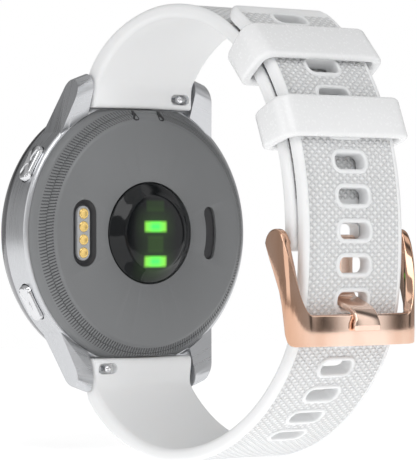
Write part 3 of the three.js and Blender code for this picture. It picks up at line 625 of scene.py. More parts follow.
def section(half, thickness, groove):
    """A strap's cross-section as (x, depth, woven) points; depth is 0 on the inner side."""
    corner = min(0.7, thickness * 0.4)
    side, high = half - corner, thickness - corner
    panel = half - BORDER
    count = 8
    right = arc(side, corner, corner, 270, 360, 4) + arc(side, high, corner, 0, 90, 4)
    left = arc(-side, high, corner, 90, 180, 4) + arc(-side, corner, corner, 180, 270, 4)
    right.append((panel + 0.12, thickness))
    left.insert(0, (-panel - 0.12, thickness))
    left += [((-1 + 2 * i / count) * side, 0.0) for i in range(1, count)]
    woven = [(panel - 2 * panel * i / count, thickness - groove, i < count) for i in range(count + 1)]
    return [(*p, False) for p in right] + woven + [(*p, False) for p in left]


def strap(name, stations):
    """Skins stations of (inner point, outer point, half width, woven or not)."""
    points, uvs, faces, picks = [], [], [], []
    walked = 0.0
    last = None
    for inner, outer, half, woven in stations:
        middle = (inner + outer) / 2
        walked += (middle - last).length if last else 0.0
        last = middle
        reach = outer - inner
        cut = section(half, reach.length, WEAVE_SINK if woven else 0.0)
        for x, depth, _ in cut:
            place = inner + reach * (depth / reach.length)
            points.append((x, place.x, place.y))
            uvs.append((x, walked))
    size = len(cut)
    for row in range(len(stations) - 1):
        for i in range(size):
            j = (i + 1) % size
            faces.append((row * size + i, row * size + j, (row + 1) * size + j, (row + 1) * size + i))
            both = stations[row][3] and stations[row + 1][3]
            picks.append(1 if both and cut[i][2] else 0)
    faces.append(tuple(range(size)))
    faces.append(tuple(range(len(points) - size, len(points))))
    picks += [0, 0]
    return make_object(name, points, faces, BAND_SKINS, picks, uvs, 50)


def hole_angles():
    """The angle of every hole, one pitch apart along the strap."""
    angles = [HOLE_ANGLE]
    for direction, count in ((1, HOLES_TO_TAIL), (-1, HOLES_TO_LUG)):
        angle = HOLE_ANGLE
        for _ in range(count):
            walked = 0.0
            last = band_frame(lower_inner, angle, THICKNESS / 2)[0]
            while walked < HOLE_PITCH:
                angle += direction * 0.1
                here = band_frame(lower_inner, angle, THICKNESS / 2)[0]
                walked += (here - last).length
                last = here
            angles.append(angle)
    return angles


def hole_loop(angle, grow, depth):
    """The hole's outline, grown, at a depth above the strap's inner face."""
    width, height = HOLE_SIZE
    outline = round_rect(width + 2 * grow, height + 2 * grow, max(0.2, HOLE_CORNER + grow), 5)
    point, along, out = band_frame(lower_inner, angle, 0.0)
    loop = []
    for x, t in outline:
        place = point + along * t + out * depth
        loop.append((x, place.x, place.y))
    return loop


def eyelet(angle):
    """The smooth raised rim and wall of one adjustment hole."""
    rings = [(0.62, THICKNESS - 0.2), (0.55, THICKNESS - 0.02), (0.4, THICKNESS + 0.06),
             (0.2, THICKNESS + 0.07), (0.05, THICKNESS), (-0.02, THICKNESS - 0.2),
             (-0.02, 0.25), (0.05, 0.06), (0.2, 0.0)]
    loops = [hole_loop(angle, grow, depth) for grow, depth in rings]
    rim = loft("rim", loops, BAND_SKINS, closed_ends=False, smooth=60)
    out = band_frame(lower_inner, angle, THICKNESS / 2)[2]
    flip_if_inside(rim, Vector((0, out.x, out.y)))
    return rim


def flip_if_inside(obj, facing):
    """Turns an open shell over if its raised rim doesn't face the way given."""
    total = sum(polygon.normal.dot(facing) * polygon.area for polygon in obj.data.polygons)
    if total < 0:
        obj.data.flip_normals()


def knob_slot(side):
    outline = [(x - side * KNOB_X, z + side * BAR_Z) for x, z in stadium(*KNOB_SLOT, 8)]
    return prism("slot", outline, BAR_Y + 0.2, BAR_Y + 4, [SMOOTH_SILICONE], "xz")


def lower_strap():
    steps = 130
    stations = lug_end(-1, lower_inner)
    for i in range(steps + 1):
        angle = -LUG_ANGLE + (LUG_ANGLE + TAIL_ANGLE - 1.5) * i / steps
        narrow = smoothstep(angle, -SIDE_ANGLE, NARROW_ANGLE)
        half = BAND_HALF + (TAIL_HALF - BAND_HALF) * narrow
        left = math.radians(TAIL_ANGLE - angle) * TAIL_RADIUS
        if left < TAIL_ROUND:
            half -= TAIL_ROUND - math.sqrt(TAIL_ROUND ** 2 - (TAIL_ROUND - left) ** 2)
        faces = both_faces(lower_inner, angle, thickness_at(angle))
        stations.append((*faces, half, -WEAVE_END < angle < TAIL_ANGLE - 4))
    for back, shrink in ((0.9, 0.12), (0.4, 0.35), (0.0, 0.75)):
        angle = TAIL_ANGLE - back
        left = back * TAIL_PER_DEGREE
        rounded = math.sqrt(TAIL_ROUND ** 2 - (TAIL_ROUND - left) ** 2)
        half = TAIL_HALF - TAIL_ROUND + rounded - shrink
        stations.append((*both_faces(lower_inner, angle, THICKNESS, shrink), half, False))
    body = strap("band_lower", stations)
    angles = hole_angles()
    cutters = []
    for angle in angles:
        loops = [hole_loop(angle, 0.03, depth) for depth in (-1.0, THICKNESS + 1.0)]
        cutters.append(loft("cutter", loops, BAND_SKINS))
    boolean(body, join("cutters", cutters))
    boolean(body, knob_slot(-1))
    soften(body, 50)
    return join("band_lower", [body] + [eyelet(angle) for angle in angles])


def upper_strap():
    steps = 84
    stations = lug_end(1, upper_inner)
    for i in range(steps + 1):
        angle = LUG_ANGLE - (LUG_ANGLE - 1.8) * i / steps
        faces = both_faces(upper_inner, angle, thickness_at(angle))
        stations.append((*faces, BAND_HALF, 9 < angle < WEAVE_END))
    for rise in (0.65, 0.4, 0.0, -0.4, -0.75, -1.0, -1.12):
        reach = math.sqrt(PIN_LOOP ** 2 - rise ** 2)
        stations.append((Vector((PIN_Y - reach, PIN_Z + rise)), Vector((PIN_Y + reach, PIN_Z + rise)),
                         BAND_HALF, False))
    body = strap("band_upper", stations)
    boolean(body, knob_slot(1))
    slot = [(x, z + PIN_Z + 0.45) for x, z in round_rect(*TONGUE_SLOT, 0.8, 5)]
    boolean(body, prism("slot", slot, PIN_Y - 3, PIN_Y + 3, [SMOOTH_SILICONE], "xz"))
    soften(body, 50)
    return body


# ---- keepers
KEEPER_LENGTH = 5.5
KEEPER_CORNER = 2.1
STACK = 2 * THICKNESS + LAYER_GAP
KEEPER_WALL = 1.1
KEEPER_SIDE_WALL = 1.5
KEEPER_PLAY = 0.6
KEEPER_WIDTH = 22.0
KEEPER_DEPTH = STACK + KEEPER_PLAY + 2 * KEEPER_WALL
KEEPER_CROWN = 0.12
KEEPER_SPACING = 1.2
LOWER_KEEPER_ANGLE = 29.5
UPPER_KEEPER_ANGLE = 50.2


def keeper(name, angle):
    """A moulded loop: a rounded wall section swept round a rounded rectangle."""
    wall, side_wall = KEEPER_WALL, KEEPER_SIDE_WALL
    path = round_rect(KEEPER_WIDTH - side_wall, KEEPER_DEPTH - wall, KEEPER_CORNER - wall / 2, 7)
    path += [path[0]]
    fine = []
    for (x0, n0), (x1, n1) in zip(path, path[1:]):
        parts = max(1, int(math.hypot(x1 - x0, n1 - n0) / KEEPER_SPACING))
        fine += [(x0 + (x1 - x0) * k / parts, n0 + (n1 - n0) * k / parts) for k in range(parts)]
    loops = []
    count = len(fine)
    for i, (x, n) in enumerate(fine):
        before, after = fine[i - 1], fine[(i + 1) % count]
        tangent = Vector((after[0] - before[0], after[1] - before[1])).normalized()
        facing = Vector((tangent.y, -tangent.x))
        thick = wall + (side_wall - wall) * abs(facing.x)
        outline = round_rect(thick, KEEPER_LENGTH, 0.5, 5)
        loop = []
        for off, along in outline:
            if off > 0:
                off += KEEPER_CROWN * (1 - (2 * along / KEEPER_LENGTH) ** 2)
            px = x + facing.x * off
            pn = n + facing.y * off
            turn = math.degrees(along / (upper_inner(angle) + STACK / 2))
            point, _, out = band_frame(upper_inner, angle + turn, STACK / 2)
            place = point + out * pn
            loop.append((px, place.x, place.y))
        loops.append(loop)
    return loft(name, loops, [GLOSS_SILICONE], around=True, smooth=60)


# ---- buckle
FRAME_HALF = 11.3
FRAME_SHEET = 1.25
FRAME_CORNER = 3.2
BAR_FRONT = 48.3
BAR_TOP = -10.8
BAR_BOTTOM = -15.05
ARM_END = 1.9
TONGUE_WIDTH = 4.5
TONGUE_WAIST = 0.5
TONGUE_SHEET = 0.75


def along_line(value, table):
    """Straight interpolation in (value, result) pairs."""
    for (v0, r0), (v1, r1) in zip(table, table[1:]):
        if value <= v1:
            return r0 + (r1 - r0) * max(0.0, (value - v0) / (v1 - v0))
    return table[-1][1]


def frame_top(y):
    if y < PIN_Y + 1.55:
        return PIN_Z + math.sqrt(max(0.0, ARM_END ** 2 - (y - PIN_Y) ** 2))
    return along_line(y, [(PIN_Y + 1.55, PIN_Z + 1.1), (45.6, -1.25), (46.3, -2.75), (46.9, -4.5),
                          (47.4, -6.6), (47.8, -8.7), (48.05, -9.9), (48.2, -10.5), (BAR_FRONT, BAR_TOP)])


def frame_bottom(y):
    if y < PIN_Y - 1.75:
        return PIN_Z - math.sqrt(max(0.0, ARM_END ** 2 - (y - PIN_Y) ** 2))
    return along_line(y, [(PIN_Y - 1.75, PIN_Z - 0.7), (42.3, -3.6), (43.2, -5.4), (44.4, -7.9),
                          (45.2, -10.2), (45.55, -12.0), (45.75, -13.4), (46.0, -14.3), (46.4, -14.85),
                          (47.0, BAR_BOTTOM), (BAR_FRONT, BAR_BOTTOM)])


def crowned(x, y):
    """Bows the crossbar's front outwards in its middle."""
    share = min(1.0, abs(x) / (FRAME_HALF - FRAME_CORNER))
    return y + (0.25 - 0.6 * share ** 2) * smoothstep(y, 44.0, 46.5)


def frame_path():
    """Plan points of the outer surface, with the way out, from one pin end to the other."""
    side = []
    y_turn = BAR_FRONT - FRAME_CORNER
    low = PIN_Y - ARM_END + 0.01
    for i in range(34):
        t = i / 33
        side.append(((FRAME_HALF, low + (y_turn - low) * (1 - math.cos(t * math.pi / 2))), (1.0, 0.0)))
    for i in range(1, 15):
        turn = math.radians(90 * i / 14)
        centre = FRAME_HALF - FRAME_CORNER
        side.append(((centre + FRAME_CORNER * math.cos(turn), y_turn + FRAME_CORNER * math.sin(turn)),
                     (math.cos(turn), math.sin(turn))))
    middle = []
    for i in range(1, 12):
        x = (FRAME_HALF - FRAME_CORNER) * (1 - 2 * i / 12)
        middle.append(((x, BAR_FRONT), (0.0, 1.0)))
    other = [((-p[0], p[1]), (-n[0], n[1])) for p, n in reversed(side)]
    return side + middle + other


def buckle_frame():
    loops = []
    for (x, y), (nx, ny) in frame_path():
        top, bottom = frame_top(y), frame_bottom(y)
        y = crowned(x, y)
        height = max(0.06, top - bottom)
        middle = (top + bottom) / 2
        corner = min(0.32, height * 0.45)
        outline = round_rect(FRAME_SHEET, height, corner, 4)
        loops.append([(x + nx * (off - FRAME_SHEET / 2), y + ny * (off - FRAME_SHEET / 2), middle + rise)
                      for off, rise in outline])
    return loft("buckle_frame_piece", loops, [ROSE_GOLD], smooth=50)


def catmull(points, steps):
    """A smooth curve through the points."""
    found = []
    padded = [2 * points[0] - points[1]] + points + [2 * points[-1] - points[-2]]
    for i in range(1, len(padded) - 2):
        p0, p1, p2, p3 = padded[i - 1:i + 3]
        for k in range(steps):
            t = k / steps
            found.append(0.5 * (2 * p1 + (p2 - p0) * t + (2 * p0 - 5 * p1 + 4 * p2 - p3) * t * t
                                + (3 * p1 - p0 - 3 * p2 + p3) * t ** 3))
    found.append(points[-1])
    return found


def buckle_tongue():
    spine = catmull([Vector(p) for p in (
        (PIN_Y, PIN_Z - 0.9), (43.3, -5.2), (43.75, -8.25), (45.2, -9.15), (46.8, -9.75), (48.1, -10.35),
        (48.85, -11.2), (49.03, -12.1), (48.98, -13.0))], 6)
    loops = []
    for i, point in enumerate(spine):
        before, after = spine[max(0, i - 1)], spine[min(len(spine) - 1, i + 1)]
        along = (after - before).normalized()
        out = Vector((-along.y, along.x))
        share = i / (len(spine) - 1)
        waist = smoothstep(share, 0.45, 0.7) - smoothstep(share, 0.75, 0.9)
        width, thick = TONGUE_WIDTH - TONGUE_WAIST * waist, TONGUE_SHEET
        if i == len(spine) - 1:
            width, thick = width - 0.3, 0.45
        loops.append([(x, point.x + out.x * d, point.y + out.y * d)
                      for x, d in round_rect(width, thick, min(0.3, thick * 0.45), 4)])
    blade = loft("blade", loops, [ROSE_GOLD], smooth=50)
    half = TONGUE_WIDTH / 2
    eye = ring_x("eye", 0.72, 1.1, -half, half, PIN_Y, PIN_Z, [ROSE_GOLD])
    return join("buckle_tongue_piece", [blade, eye])


def ring_x(name, inner, outer, low, high, y, z, materials):
    """A tube along x, or a rod when inner is 0, with softened ends."""
    steps = 40
    soft = min(0.15, (outer - inner) * 0.3)
    outline = [(low, max(inner, 0.001)), (low, outer - soft), (low + soft, outer), (high - soft, outer),
               (high, outer - soft), (high, max(inner, 0.001))]
    loops = []
    turns = [2 * math.pi * i / steps for i in range(steps)]
    for x, r in outline:
        loops.append([(x, y + r * math.cos(turn), z + r * math.sin(turn)) for turn in turns])
    return loft(name, loops, materials, closed_ends=False, around=True, smooth=40)


# ---- case
CASE_R = 20.2
BORE_R = 16.6
REAR_Y = -3.0
FRONT_Y = -9.4
LUG_INNER = 9.35
FLAT_Z = 18.2
LUG_TIP = 11.7
LUG_REAR = 0.39
LUG_FRONT = 0.51
LUG_SLANT = 0.36
LUG_TIP_Y, LUG_TIP_Z = -3.1, 20.6
LUG_TIP_R = 1.93
LUG_ROOT_Z = 10
RIM_Y = -8.0
SPIGOT_R = 19.4
SEAT_R = 19.72
LEDGE_R = 15.8
LEDGE_Y = FRONT_Y + 0.7
BEYOND = 26
FINE = 240


def lug(side_x, side_z):
    """A round-ended bar, thin seen from above, whose tip slants to the case's side."""
    rear_turn = -math.degrees(math.atan(LUG_REAR))
    front_turn = 180 - math.degrees(math.atan(LUG_FRONT))
    tip = arc(LUG_TIP_Y, LUG_TIP_Z, LUG_TIP_R, rear_turn, front_turn, 16)
    root_y = tip[0][0] - LUG_REAR * (tip[0][1] - LUG_ROOT_Z)
    side_view = [(root_y, LUG_ROOT_Z)] + tip + [(-9.2, 12.9), (-9.2, LUG_ROOT_Z)]
    plan = [(LUG_INNER, LUG_ROOT_Z), (14.5, 12), (LUG_TIP, 22.6), (LUG_TIP, 25), (LUG_INNER, 25)]
    side = prism("lug", [(y, side_z * z) for y, z in side_view], *sorted((side_x * 8, side_x * 18)),
                 METALS, "yz")
    for vertex in side.data.vertices:
        vertex.co.z -= side_z * LUG_SLANT * (abs(vertex.co.x) - LUG_TIP * MM)
    outline = [(side_x * x, side_z * z) for x, z in plan]
    boolean(side, prism("plan", outline, -12, 2, METALS, "xz"), "INTERSECT")
    return side


def case_body():
    body = lathe("case_piece", [
        (BORE_R, REAR_Y), (SEAT_R, REAR_Y), (20.0, REAR_Y - 0.12), (CASE_R, REAR_Y - 0.4),
        (CASE_R, RIM_Y), (SPIGOT_R, RIM_Y), (SPIGOT_R, FRONT_Y), (LEDGE_R, FRONT_Y),
        (LEDGE_R, LEDGE_Y), (BORE_R, LEDGE_Y),
    ], METALS, FINE)
    for side_x in (1, -1):
        for side_z in (1, -1):
            boolean(body, lug(side_x, side_z), "UNION")
    boolean(body, lathe("hollow", [(0, -12), (15.7, -12), (15.7, LEDGE_Y), (BORE_R, LEDGE_Y),
                                   (BORE_R, 4), (0, 4)], METALS, FINE))
    boolean(body, lathe("seat", [(0, REAR_Y), (SEAT_R, REAR_Y), (SEAT_R, 4), (0, 4)], METALS, FINE))
    boolean(body, ring_y("front", SPIGOT_R, BEYOND, -12, RIM_Y, METALS))
    for side_z in (1, -1):
        low, high = sorted((side_z * FLAT_Z, side_z * BEYOND))
        outline = [(-4.6, low), (4, low), (4, high), (-4.6, high)]
        boolean(body, prism("pocket", outline, -LUG_INNER, LUG_INNER, METALS, "yz"))
        boolean(body, button_well(side_z))
    bevel(body, 0.16, 2, 35, 1)
    soften(body, 40)
    return body


def ring_y(name, inner, outer, low, high, materials):
    """A plain ring about the case axis, to cut with."""
    return lathe(name, [(inner, low), (outer, low), (outer, high), (inner, high)], materials, FINE)


# ---- buttons
BUTTON_Y = -5.2
BUTTON_TURN = 30
BUTTON_LENGTH = 5.8
BUTTON_HEIGHT = 2.5
BUTTON_PLAY = 0.15
WELL_FLOOR = 18.6
CREASE = 0.26
CREASE_WIDTH = 0.07
PILLOW = 0.14


def radial(x, y, z, side):
    """A point given along a button's own ray, turned to its place."""
    turn = math.radians(side * BUTTON_TURN)
    return (x * math.cos(turn) - z * math.sin(turn), y, x * math.sin(turn) + z * math.cos(turn))


def button_well(side):
    outline = stadium(BUTTON_HEIGHT + 2 * BUTTON_PLAY, BUTTON_LENGTH + 2 * BUTTON_PLAY, 10)
    loops = [[radial(x, BUTTON_Y + a, b, side) for a, b in outline] for x in (WELL_FLOOR, 24)]
    return loft("well", loops, METALS)


def button(side):
    """A cushioned cap with creases that cross in its middle."""
    shares = [1.0, 1.0, 0.975, 0.93, 0.86, 0.76, 0.65, 0.54, 0.43, 0.32, 0.21, 0.1]
    heights = [19.4, 20.5, 20.68, 20.8, 20.88, 20.94, 20.98, 21.01, 21.03, 21.04, 21.05, 21.05]
    outline = stadium(BUTTON_HEIGHT, BUTTON_LENGTH, 24)
    loops = []
    for share, height in zip(shares, heights):
        loop = []
        for a, b in outline:
            u, v = a / BUTTON_HEIGHT * share, b / BUTTON_LENGTH * share
            away = min(abs(u - v), abs(u + v))
            from_edge = 0.5 - max(abs(u), abs(v))
            crease = CREASE * math.exp(-(away / CREASE_WIDTH) ** 2) * smoothstep(from_edge, 0.0, 0.12)
            pillow = PILLOW * smoothstep(from_edge - 0.05, 0.0, 0.4)
            sunk = crease + pillow if share < 0.99 else 0.0
            loop.append(radial(height - sunk, BUTTON_Y + a * share, b * share, side))
        loops.append(loop)
    return loft(f"button_{'upper' if side > 0 else 'lower'}", loops, [SILVER_POLISHED], smooth=70)


# ---- back cover
KNURL_COUNT = 240
KNURL_STEPS = 8
KNURL_ROWS = [
    (16.85, -0.2, 0.0), (17.05, -0.26, 0.3), (17.25, -0.42, 0.9), (17.5, -0.65, 1.0), (17.68, -0.84, 0.8),
    (17.8, -1.06, 0.25), (17.92, -1.02, 0.8), (18.15, -1.24, 0.9), (18.4, -1.5, 0.7), (18.65, -1.78, 0.3),
    (18.8, -1.98, 0.0),
]
KNURL_HEIGHT = 0.2
KNURL_SLANT = 0.16
KNURL_GAP = 2.6
NOTCH_X = 2.3
CONTACT_X = 11.7
CONTACT_SLOT = (4.1, 9.8)
CONTACT_HEIGHTS = (2.85, 0.95, -0.95, -2.85)


def clip_flat(x, z):
    """Keeps a rim point behind the flat that the strap's end faces."""
    if abs(x) < LUG_INNER + 0.3 and abs(z) > FLAT_Z:
        return math.copysign(FLAT_Z, z)
    return z


def knurl():
    """Slanted teeth round the shoulder, parted by valleys painted dark as shade and by one groove."""
    steps = KNURL_COUNT * KNURL_STEPS
    points, faces, picks = [], [], []
    for row, (r, y, height) in enumerate(KNURL_ROWS):
        for i in range(steps):
            turn = 2 * math.pi * i / steps
            phase = (i / KNURL_STEPS + row * KNURL_SLANT) % 1.0
            wave = math.sin(math.pi * phase) ** 0.8 - 0.75
            x, z = r * math.cos(turn), r * math.sin(turn)
            if abs(x) < KNURL_GAP and z > 0:
                wave = -0.1
            lift = wave * height * KNURL_HEIGHT
            reach = r + lift * 0.7
            points.append((reach * math.cos(turn), y + lift * 0.7,
                           clip_flat(x, reach * math.sin(turn))))
    for row in range(len(KNURL_ROWS) - 1):
        for i in range(steps):
            j = (i + 1) % steps
            faces.append((row * steps + i, (row + 1) * steps + i, (row + 1) * steps + j, row * steps + j))
            phase = ((i + 0.5) / KNURL_STEPS + (row + 0.5) * KNURL_SLANT) % 1.0
            x, _, z = points[row * steps + i]
            plain = abs(x) < KNURL_GAP and z > 0
            # Valley faces take the dark finish as painted shade.
            shaded_valley = phase < 0.2 or phase > 0.8
            picks.append(1 if shaded_valley and 1 <= row <= 8 and not plain else 0)
    ring = make_object("knurl", points, faces, [GREY_SHELL, SHELL_VALLEY_SHADE], picks, smooth=25)
    flip_if_inside(ring, Vector((0, 1, 0)))
    return ring


def vent_outline():
    """A slot bent round the middle of the back, with round ends."""
    radius, half_width, length = 11.4, 0.95, 8.0
    half = (length / 2 - half_width) / radius
    turns = [-half + 2 * half * i / 10 for i in range(11)]
    caps = [math.radians(a) for a in range(20, 180, 20)]
    end_x, end_z = -radius * math.cos(half), radius * math.sin(half)
    far, near = radius + half_width, radius - half_width
    outline = [(-far * math.cos(t), far * math.sin(t)) for t in turns]
    outline += [(end_x - half_width * math.cos(a), end_z + half_width * math.sin(a)) for a in caps]
    outline += [(-near * math.cos(t), near * math.sin(t)) for t in reversed(turns)]
    outline += [(end_x + half_width * math.cos(a), -end_z - half_width * math.sin(a)) for a in caps]
    return outline


def notch(side):
    """A drop-shaped dent painted nearly black as shade, that follows the slope of the shoulder."""
    drop = [(side * NOTCH_X + a, 17.0 + b) for a, b in arc(0, 0, 0.45, 180, 360, 8)]
    drop += [(side * NOTCH_X + 0.17, 18.15), (side * NOTCH_X - 0.17, 18.15)]
    dent = prism("notch", drop, -2.0, -0.1, SHELL_SKINS, "xz")
    for vertex in dent.data.vertices:
        if vertex.co.y > BACK_Y - 1.0 * MM:
            depth = max(0.0, vertex.co.z / MM - 16.9) * 0.95
            vertex.co.y = BACK_Y + (-0.12 - depth) * MM
    # The whole dent takes the near-black painted shade.
    paint_whole(dent, 1)
    return dent


def back_cover():
    shell = lathe("back_cover_piece", [
        (0, 0), (16.4, 0), (16.7, -0.07), (16.95, -0.24), (17.25, -0.62), (17.6, -1.0), (17.8, -1.25),
        (18.3, -1.6), (18.7, -1.95), (18.95, -2.15), (19.25, -2.45), (19.5, -2.75), (19.6, -2.95),
        (16.3, -2.95), (16.3, -3.7), (15.6, -3.7), (15.6, -1.2), (0, -1.2),
    ], SHELL_SKINS, FINE)
    boolean(shell, lathe("hole", [(0, -4), (6.65, -4), (6.65, -0.85), (7.6, -0.85), (7.6, 2), (0, 2)],
                         SHELL_SKINS, 120))
    recess = [(x + CONTACT_X, z) for x, z in stadium(*CONTACT_SLOT, 14)]
    for outline in (recess, vent_outline()):
        boolean(shell, prism("opening", outline, -4, 2, [GREY_SHELL], "xz"))
    bevel(shell, 0.12, 2, 50)
    for vertex in shell.data.vertices:
        vertex.co.z = clip_flat(vertex.co.x / MM, vertex.co.z / MM) * MM
    soften(shell, 35)
    return join("back_cover_piece", [shell, knurl(), notch(1), notch(-1)])


def contact_block():
    """A sloping wall painted dark as shade round a pale plate."""
    wall = []
    for width, length, y in ((4.0, 9.7, -0.06), (3.3, 9.0, -0.55), (3.0, 8.7, -0.75), (2.7, 8.4, -0.78)):
        wall.append([(CONTACT_X + x, y, z) for x, z in stadium(width, length, 14)])
    base = [(CONTACT_X + x, -1.4, z) for x, z in stadium(3.8, 9.5, 14)]
    plate = [[(CONTACT_X + x, y, z) for x, z in stadium(w, w + 5.7, 14)]
             for w, y in ((2.3, -1.2), (2.3, -0.5), (2.15, -0.37), (1.9, -0.35))]
    # The wall takes the black finish as painted shade.
    well = loft("well", [base, wall[0]] + wall[1:], [BLACK_PLASTIC_AND_SHADE, PALE_PLASTIC], smooth=40)
    top = loft("plate", plate, [BLACK_PLASTIC_AND_SHADE, PALE_PLASTIC], smooth=40)
    paint_whole(top, 1)
    return join("contact_block_piece", [well, top])


def contact(index, z):
    """A gold disc with a faint dish and a rounded edge."""
    profile = [(0, -0.2), (0.4, -0.19), (0.58, -0.17), (0.7, -0.18), (0.76, -0.23), (0.78, -0.3),
               (0.78, -1.6), (0, -1.6)]
    pin = lathe(f"contact_{index}", profile, [GOLD], 32)
    shift(pin, CONTACT_X, z)
    return pin


def release_knob(side):
    """The bright rounded end of the spring bar's release pin."""
    profile = [(0, -1.18), (0.2, -1.2), (0.38, -1.27), (0.5, -1.38), (0.55, -1.52), (0.55, -1.9), (0, -1.9)]
    knob = lathe(f"release_knob_{'upper' if side > 0 else 'lower'}", profile, [CHROME], 32)
    shift(knob, -side * KNOB_X, side * BAR_Z)
    return knob


def sensor_dome():
    return lathe("sensor_dome_piece", [
        (0, 1.45), (2.0, 1.44), (3.8, 1.4), (5.0, 1.33), (5.4, 1.28), (5.62, 1.18), (5.8, 1.02),
        (6.3, 0.72), (6.8, 0.42), (7.2, 0.16), (7.38, 0.02), (7.44, -0.12), (7.45, -0.3),
        (7.45, -0.8), (0, -0.8),
    ], [SENSOR_GLASS], 128)


# ---- front
def front_pieces():
    # The bezel's dark colour is painted dark reflection.
    bezel = lathe("bezel_piece", [
        (17.7, -9.45), (19.3, -9.45), (19.3, RIM_Y - 0.06), (20.0, RIM_Y - 0.06), (20.14, RIM_Y - 0.12),
        (20.18, RIM_Y - 0.3), (20.1, -8.9), (19.9, -9.6), (19.6, -10.15), (19.3, -10.42), (18.9, -10.54),
        (17.95, -10.55), (17.75, -10.5), (17.7, -10.4),
    ], [RIM_PAINTED_REFLECTION], FINE)
    lens = lathe("lens_piece", [
        (0, -10.7), (15.0, -10.69), (16.4, -10.66), (16.9, -10.6), (17.2, -10.48), (17.38, -10.3),
        (17.4, -10.1), (17.4, -9.75), (0, -9.75),
    ], [BLACK_GLASS], 180)
    return bezel, lens


# ---- assembly
def place(obj, body, slot, *nodes):
    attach(obj, body)
    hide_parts(*nodes)


place(upper_strap(), "band", "silicone", "upper_strap")
lower = lower_strap()
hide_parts("lower_strap")
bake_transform(lower)
for level, keeper_angle in (("lower", LOWER_KEEPER_ANGLE), ("upper", UPPER_KEEPER_ANGLE)):
    loop_piece = keeper(f"keeper_{level}_piece", keeper_angle)
    place(loop_piece, f"{level}_keeper_body", "gloss_silicone", f"{level}_keeper")
place(buckle_frame(), "buckle", "rose_gold", "buckle_frame")
place(buckle_tongue(), "tongue", "rose_gold", "buckle_tongue")
pin = ring_x("pin_piece", 0.0, 0.6, -10.9, 10.9, PIN_Y, PIN_Z, [ROSE_GOLD])
place(pin, "band", "rose_gold", "buckle_pin")
place(case_body(), "case", "silver", "case_body")
place(button(1), "upper_button_body", "silver", "upper_button")
place(button(-1), "lower_button_body", "silver", "lower_button")
place(back_cover(), "case", "grey_shell", "back_cover")
place(contact_block(), "case", "pale_plastic", "contact_block")
for number, height in enumerate(CONTACT_HEIGHTS, start=1):
    place(contact(number, height), "case", "contact_gold", f"charge_contact_{number}")
for bar_side, bar_body in ((1, "upper_release"), (-1, "lower_release")):
    knob_piece = release_knob(bar_side)
    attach(knob_piece, bar_body)
place(sensor_dome(), "case", "glass_black", "sensor_dome")
bezel_ring, front_lens = front_pieces()
place(bezel_ring, "case", "rim", "bezel_ring")
place(front_lens, "case", "glass_black", "display_lens")

NODE_MATERIALS = {
    STEEL: ("shield_can", "vibration_motor", "pressure_sensor", "_clip", "_spring", "_bar_tube",
            "_fixed_tip", "_release"),
    RUBBER: ("gasket", "_seal"),
    BLACK_PLASTIC_AND_SHADE: ("display_panel", "inner_frame", "vent_grille", "_switch", "photodiode", "oximeter"),
    PALE_PLASTIC: ("gps_antenna",),
    BOARD: ("_board",),
    LED: ("led_",),
    FOIL: ("battery",),
}
for node_name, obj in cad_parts.items():
    for mat, words in NODE_MATERIALS.items():
        if any(word in node_name for word in words):
            obj.data.materials.clear()
            obj.data.materials.append(mat)

# ---- studio and camera
FLOOR_HALF = 0.33
FLOOR_GAP = 0.0004
FLOOR_GLOW = 0.58
floor_z = CAD_BOX[0][2] - FLOOR_GAP
floor_mesh = bpy.data.meshes.new("floor")
floor_corners = [(x * FLOOR_HALF, y * FLOOR_HALF, floor_z) for x, y in ((-1, -1), (1, -1), (1, 1), (-1, 1))]
floor_mesh.from_pydata(floor_corners, [], [(0, 1, 2, 3)])
paint = surface("floor_paint", (0.9, 0.9, 0.9), 0.0, 0.9, 0.01, (50, 0.02, 0.0001))
put(paint.node_tree.nodes["Principled BSDF"], Specular_IOR_Level=0.0, Emission_Color=rgb(1.0, 1.0, 1.0),
    Emission_Strength=FLOOR_GLOW)
floor_mesh.materials.append(paint)
link_object("floor", floor_mesh)

SKY = 0.46
STRIP_X, STRIP_Y = -0.652, 0.758
STRIP_GLOW = 1.4
FLAG_SHADE = 0.75


def strip_box(tree, x, y):
    """A narrow bright strip at the rear, between two dark flags."""
    sideways = plus(tree, times(tree, x, STRIP_Y),
                         times(tree, y, -STRIP_X))
    ahead = plus(tree, times(tree, x, STRIP_X),
                      times(tree, y, STRIP_Y))
    off = math_node(tree, "ABSOLUTE", sideways)
    there = map_range(tree, ahead, 0.0, 0.5, 0.0, 1.0)
    flag = times(tree, map_range(tree, off, 0.17, 0.25, 0.0, 1.0),
                     map_range(tree, off, 0.36, 0.46, 1.0, 0.0))
    flag = times(tree, flag, there)
    glow = times(tree, map_range(tree, off, 0.1, 0.2, 1.0, 0.0), there)
    level = math_node(tree, "SUBTRACT", 1.0, times(tree, flag, FLAG_SHADE))
    return plus(tree, level, times(tree, glow, STRIP_GLOW))


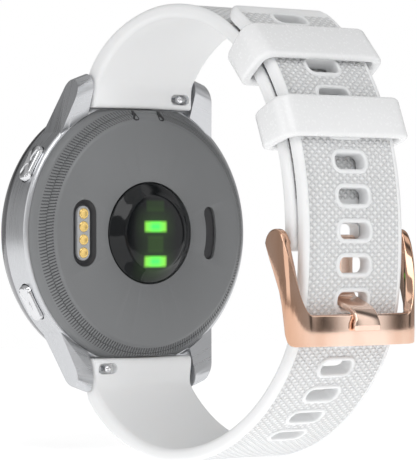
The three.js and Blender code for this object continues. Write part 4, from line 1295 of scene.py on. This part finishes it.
def studio_sky(tree):
    """A white room with a darker band in front of the watch, for metal to mirror."""
    background = tree.nodes["Background"]
    x, y, z = split_xyz(tree, node(tree, "ShaderNodeTexCoord").outputs["Generated"])
    rise = map_range(tree, z, -0.6, 0.9, 0.75, 1.05)
    tilt = math_node(tree, "ABSOLUTE", z)
    card = times(tree, map_range(tree, tilt, 0.16, 0.34, 0.0, 1.0),
                     map_range(tree, tilt, 0.5, 0.75, 1.0, 0.0))
    front = times(tree, map_range(tree, y, -0.55, -0.85, 0.0, 0.85),
                      map_range(tree, x, 0.2, 0.45, 1.0, 0.4))
    dark = math_node(tree, "SUBTRACT", 1.0, times(tree, card, front))
    light = times(tree, times(tree, rise, dark), strip_box(tree, x, y))
    seen = node(tree, "ShaderNodeLightPath").outputs["Is Camera Ray"]
    strength = node(tree, "ShaderNodeMix", data_type="FLOAT")
    feed(tree, strength.inputs[0], seen)
    feed(tree, strength.inputs[2], times(tree, light, SKY))
    strength.inputs[3].default_value = 1.0
    feed(tree, background.inputs["Strength"], strength.outputs[0])
    put(background, Color=rgb(1.0, 1.0, 1.0))


world = bpy.data.worlds.new("studio")
bpy.context.scene.world = world
world.use_nodes = True
studio_sky(world.node_tree)


def area_light(name, place_mm, target_mm, size, power):
    light = bpy.data.lights.new(name, "AREA")
    light.size = size
    light.energy = power
    obj = link_object(name, light)
    obj.location = at(*place_mm)
    obj.rotation_euler = (at(*target_mm) - obj.location).to_track_quat("-Z", "Y").to_euler()


area_light("key", (150, 420, 380), (0, 10, 0), 0.35, 0.9)
area_light("left", (420, 60, 120), (0, 10, 0), 0.3, 0.25)

TARGET = at(-6.88, 5.26, 0.16)
CAMERA_TURN = math.radians(37.4)
CAMERA_DISTANCE = 396 * MM
CAMERA_LENS = 207.5
camera_data = bpy.data.cameras.new("camera")
camera_data.lens = CAMERA_LENS
camera_data.sensor_width = 36
camera_data.clip_start = 0.01
camera_data.clip_end = 20
camera = link_object("camera", camera_data)
towards = Vector((math.sin(CAMERA_TURN), math.cos(CAMERA_TURN), 0))
camera.location = TARGET + towards * CAMERA_DISTANCE
camera.rotation_euler = (-towards).to_track_quat("-Z", "Y").to_euler()
bpy.context.scene.camera = camera
bpy.context.scene.view_settings.view_transform = "Standard"
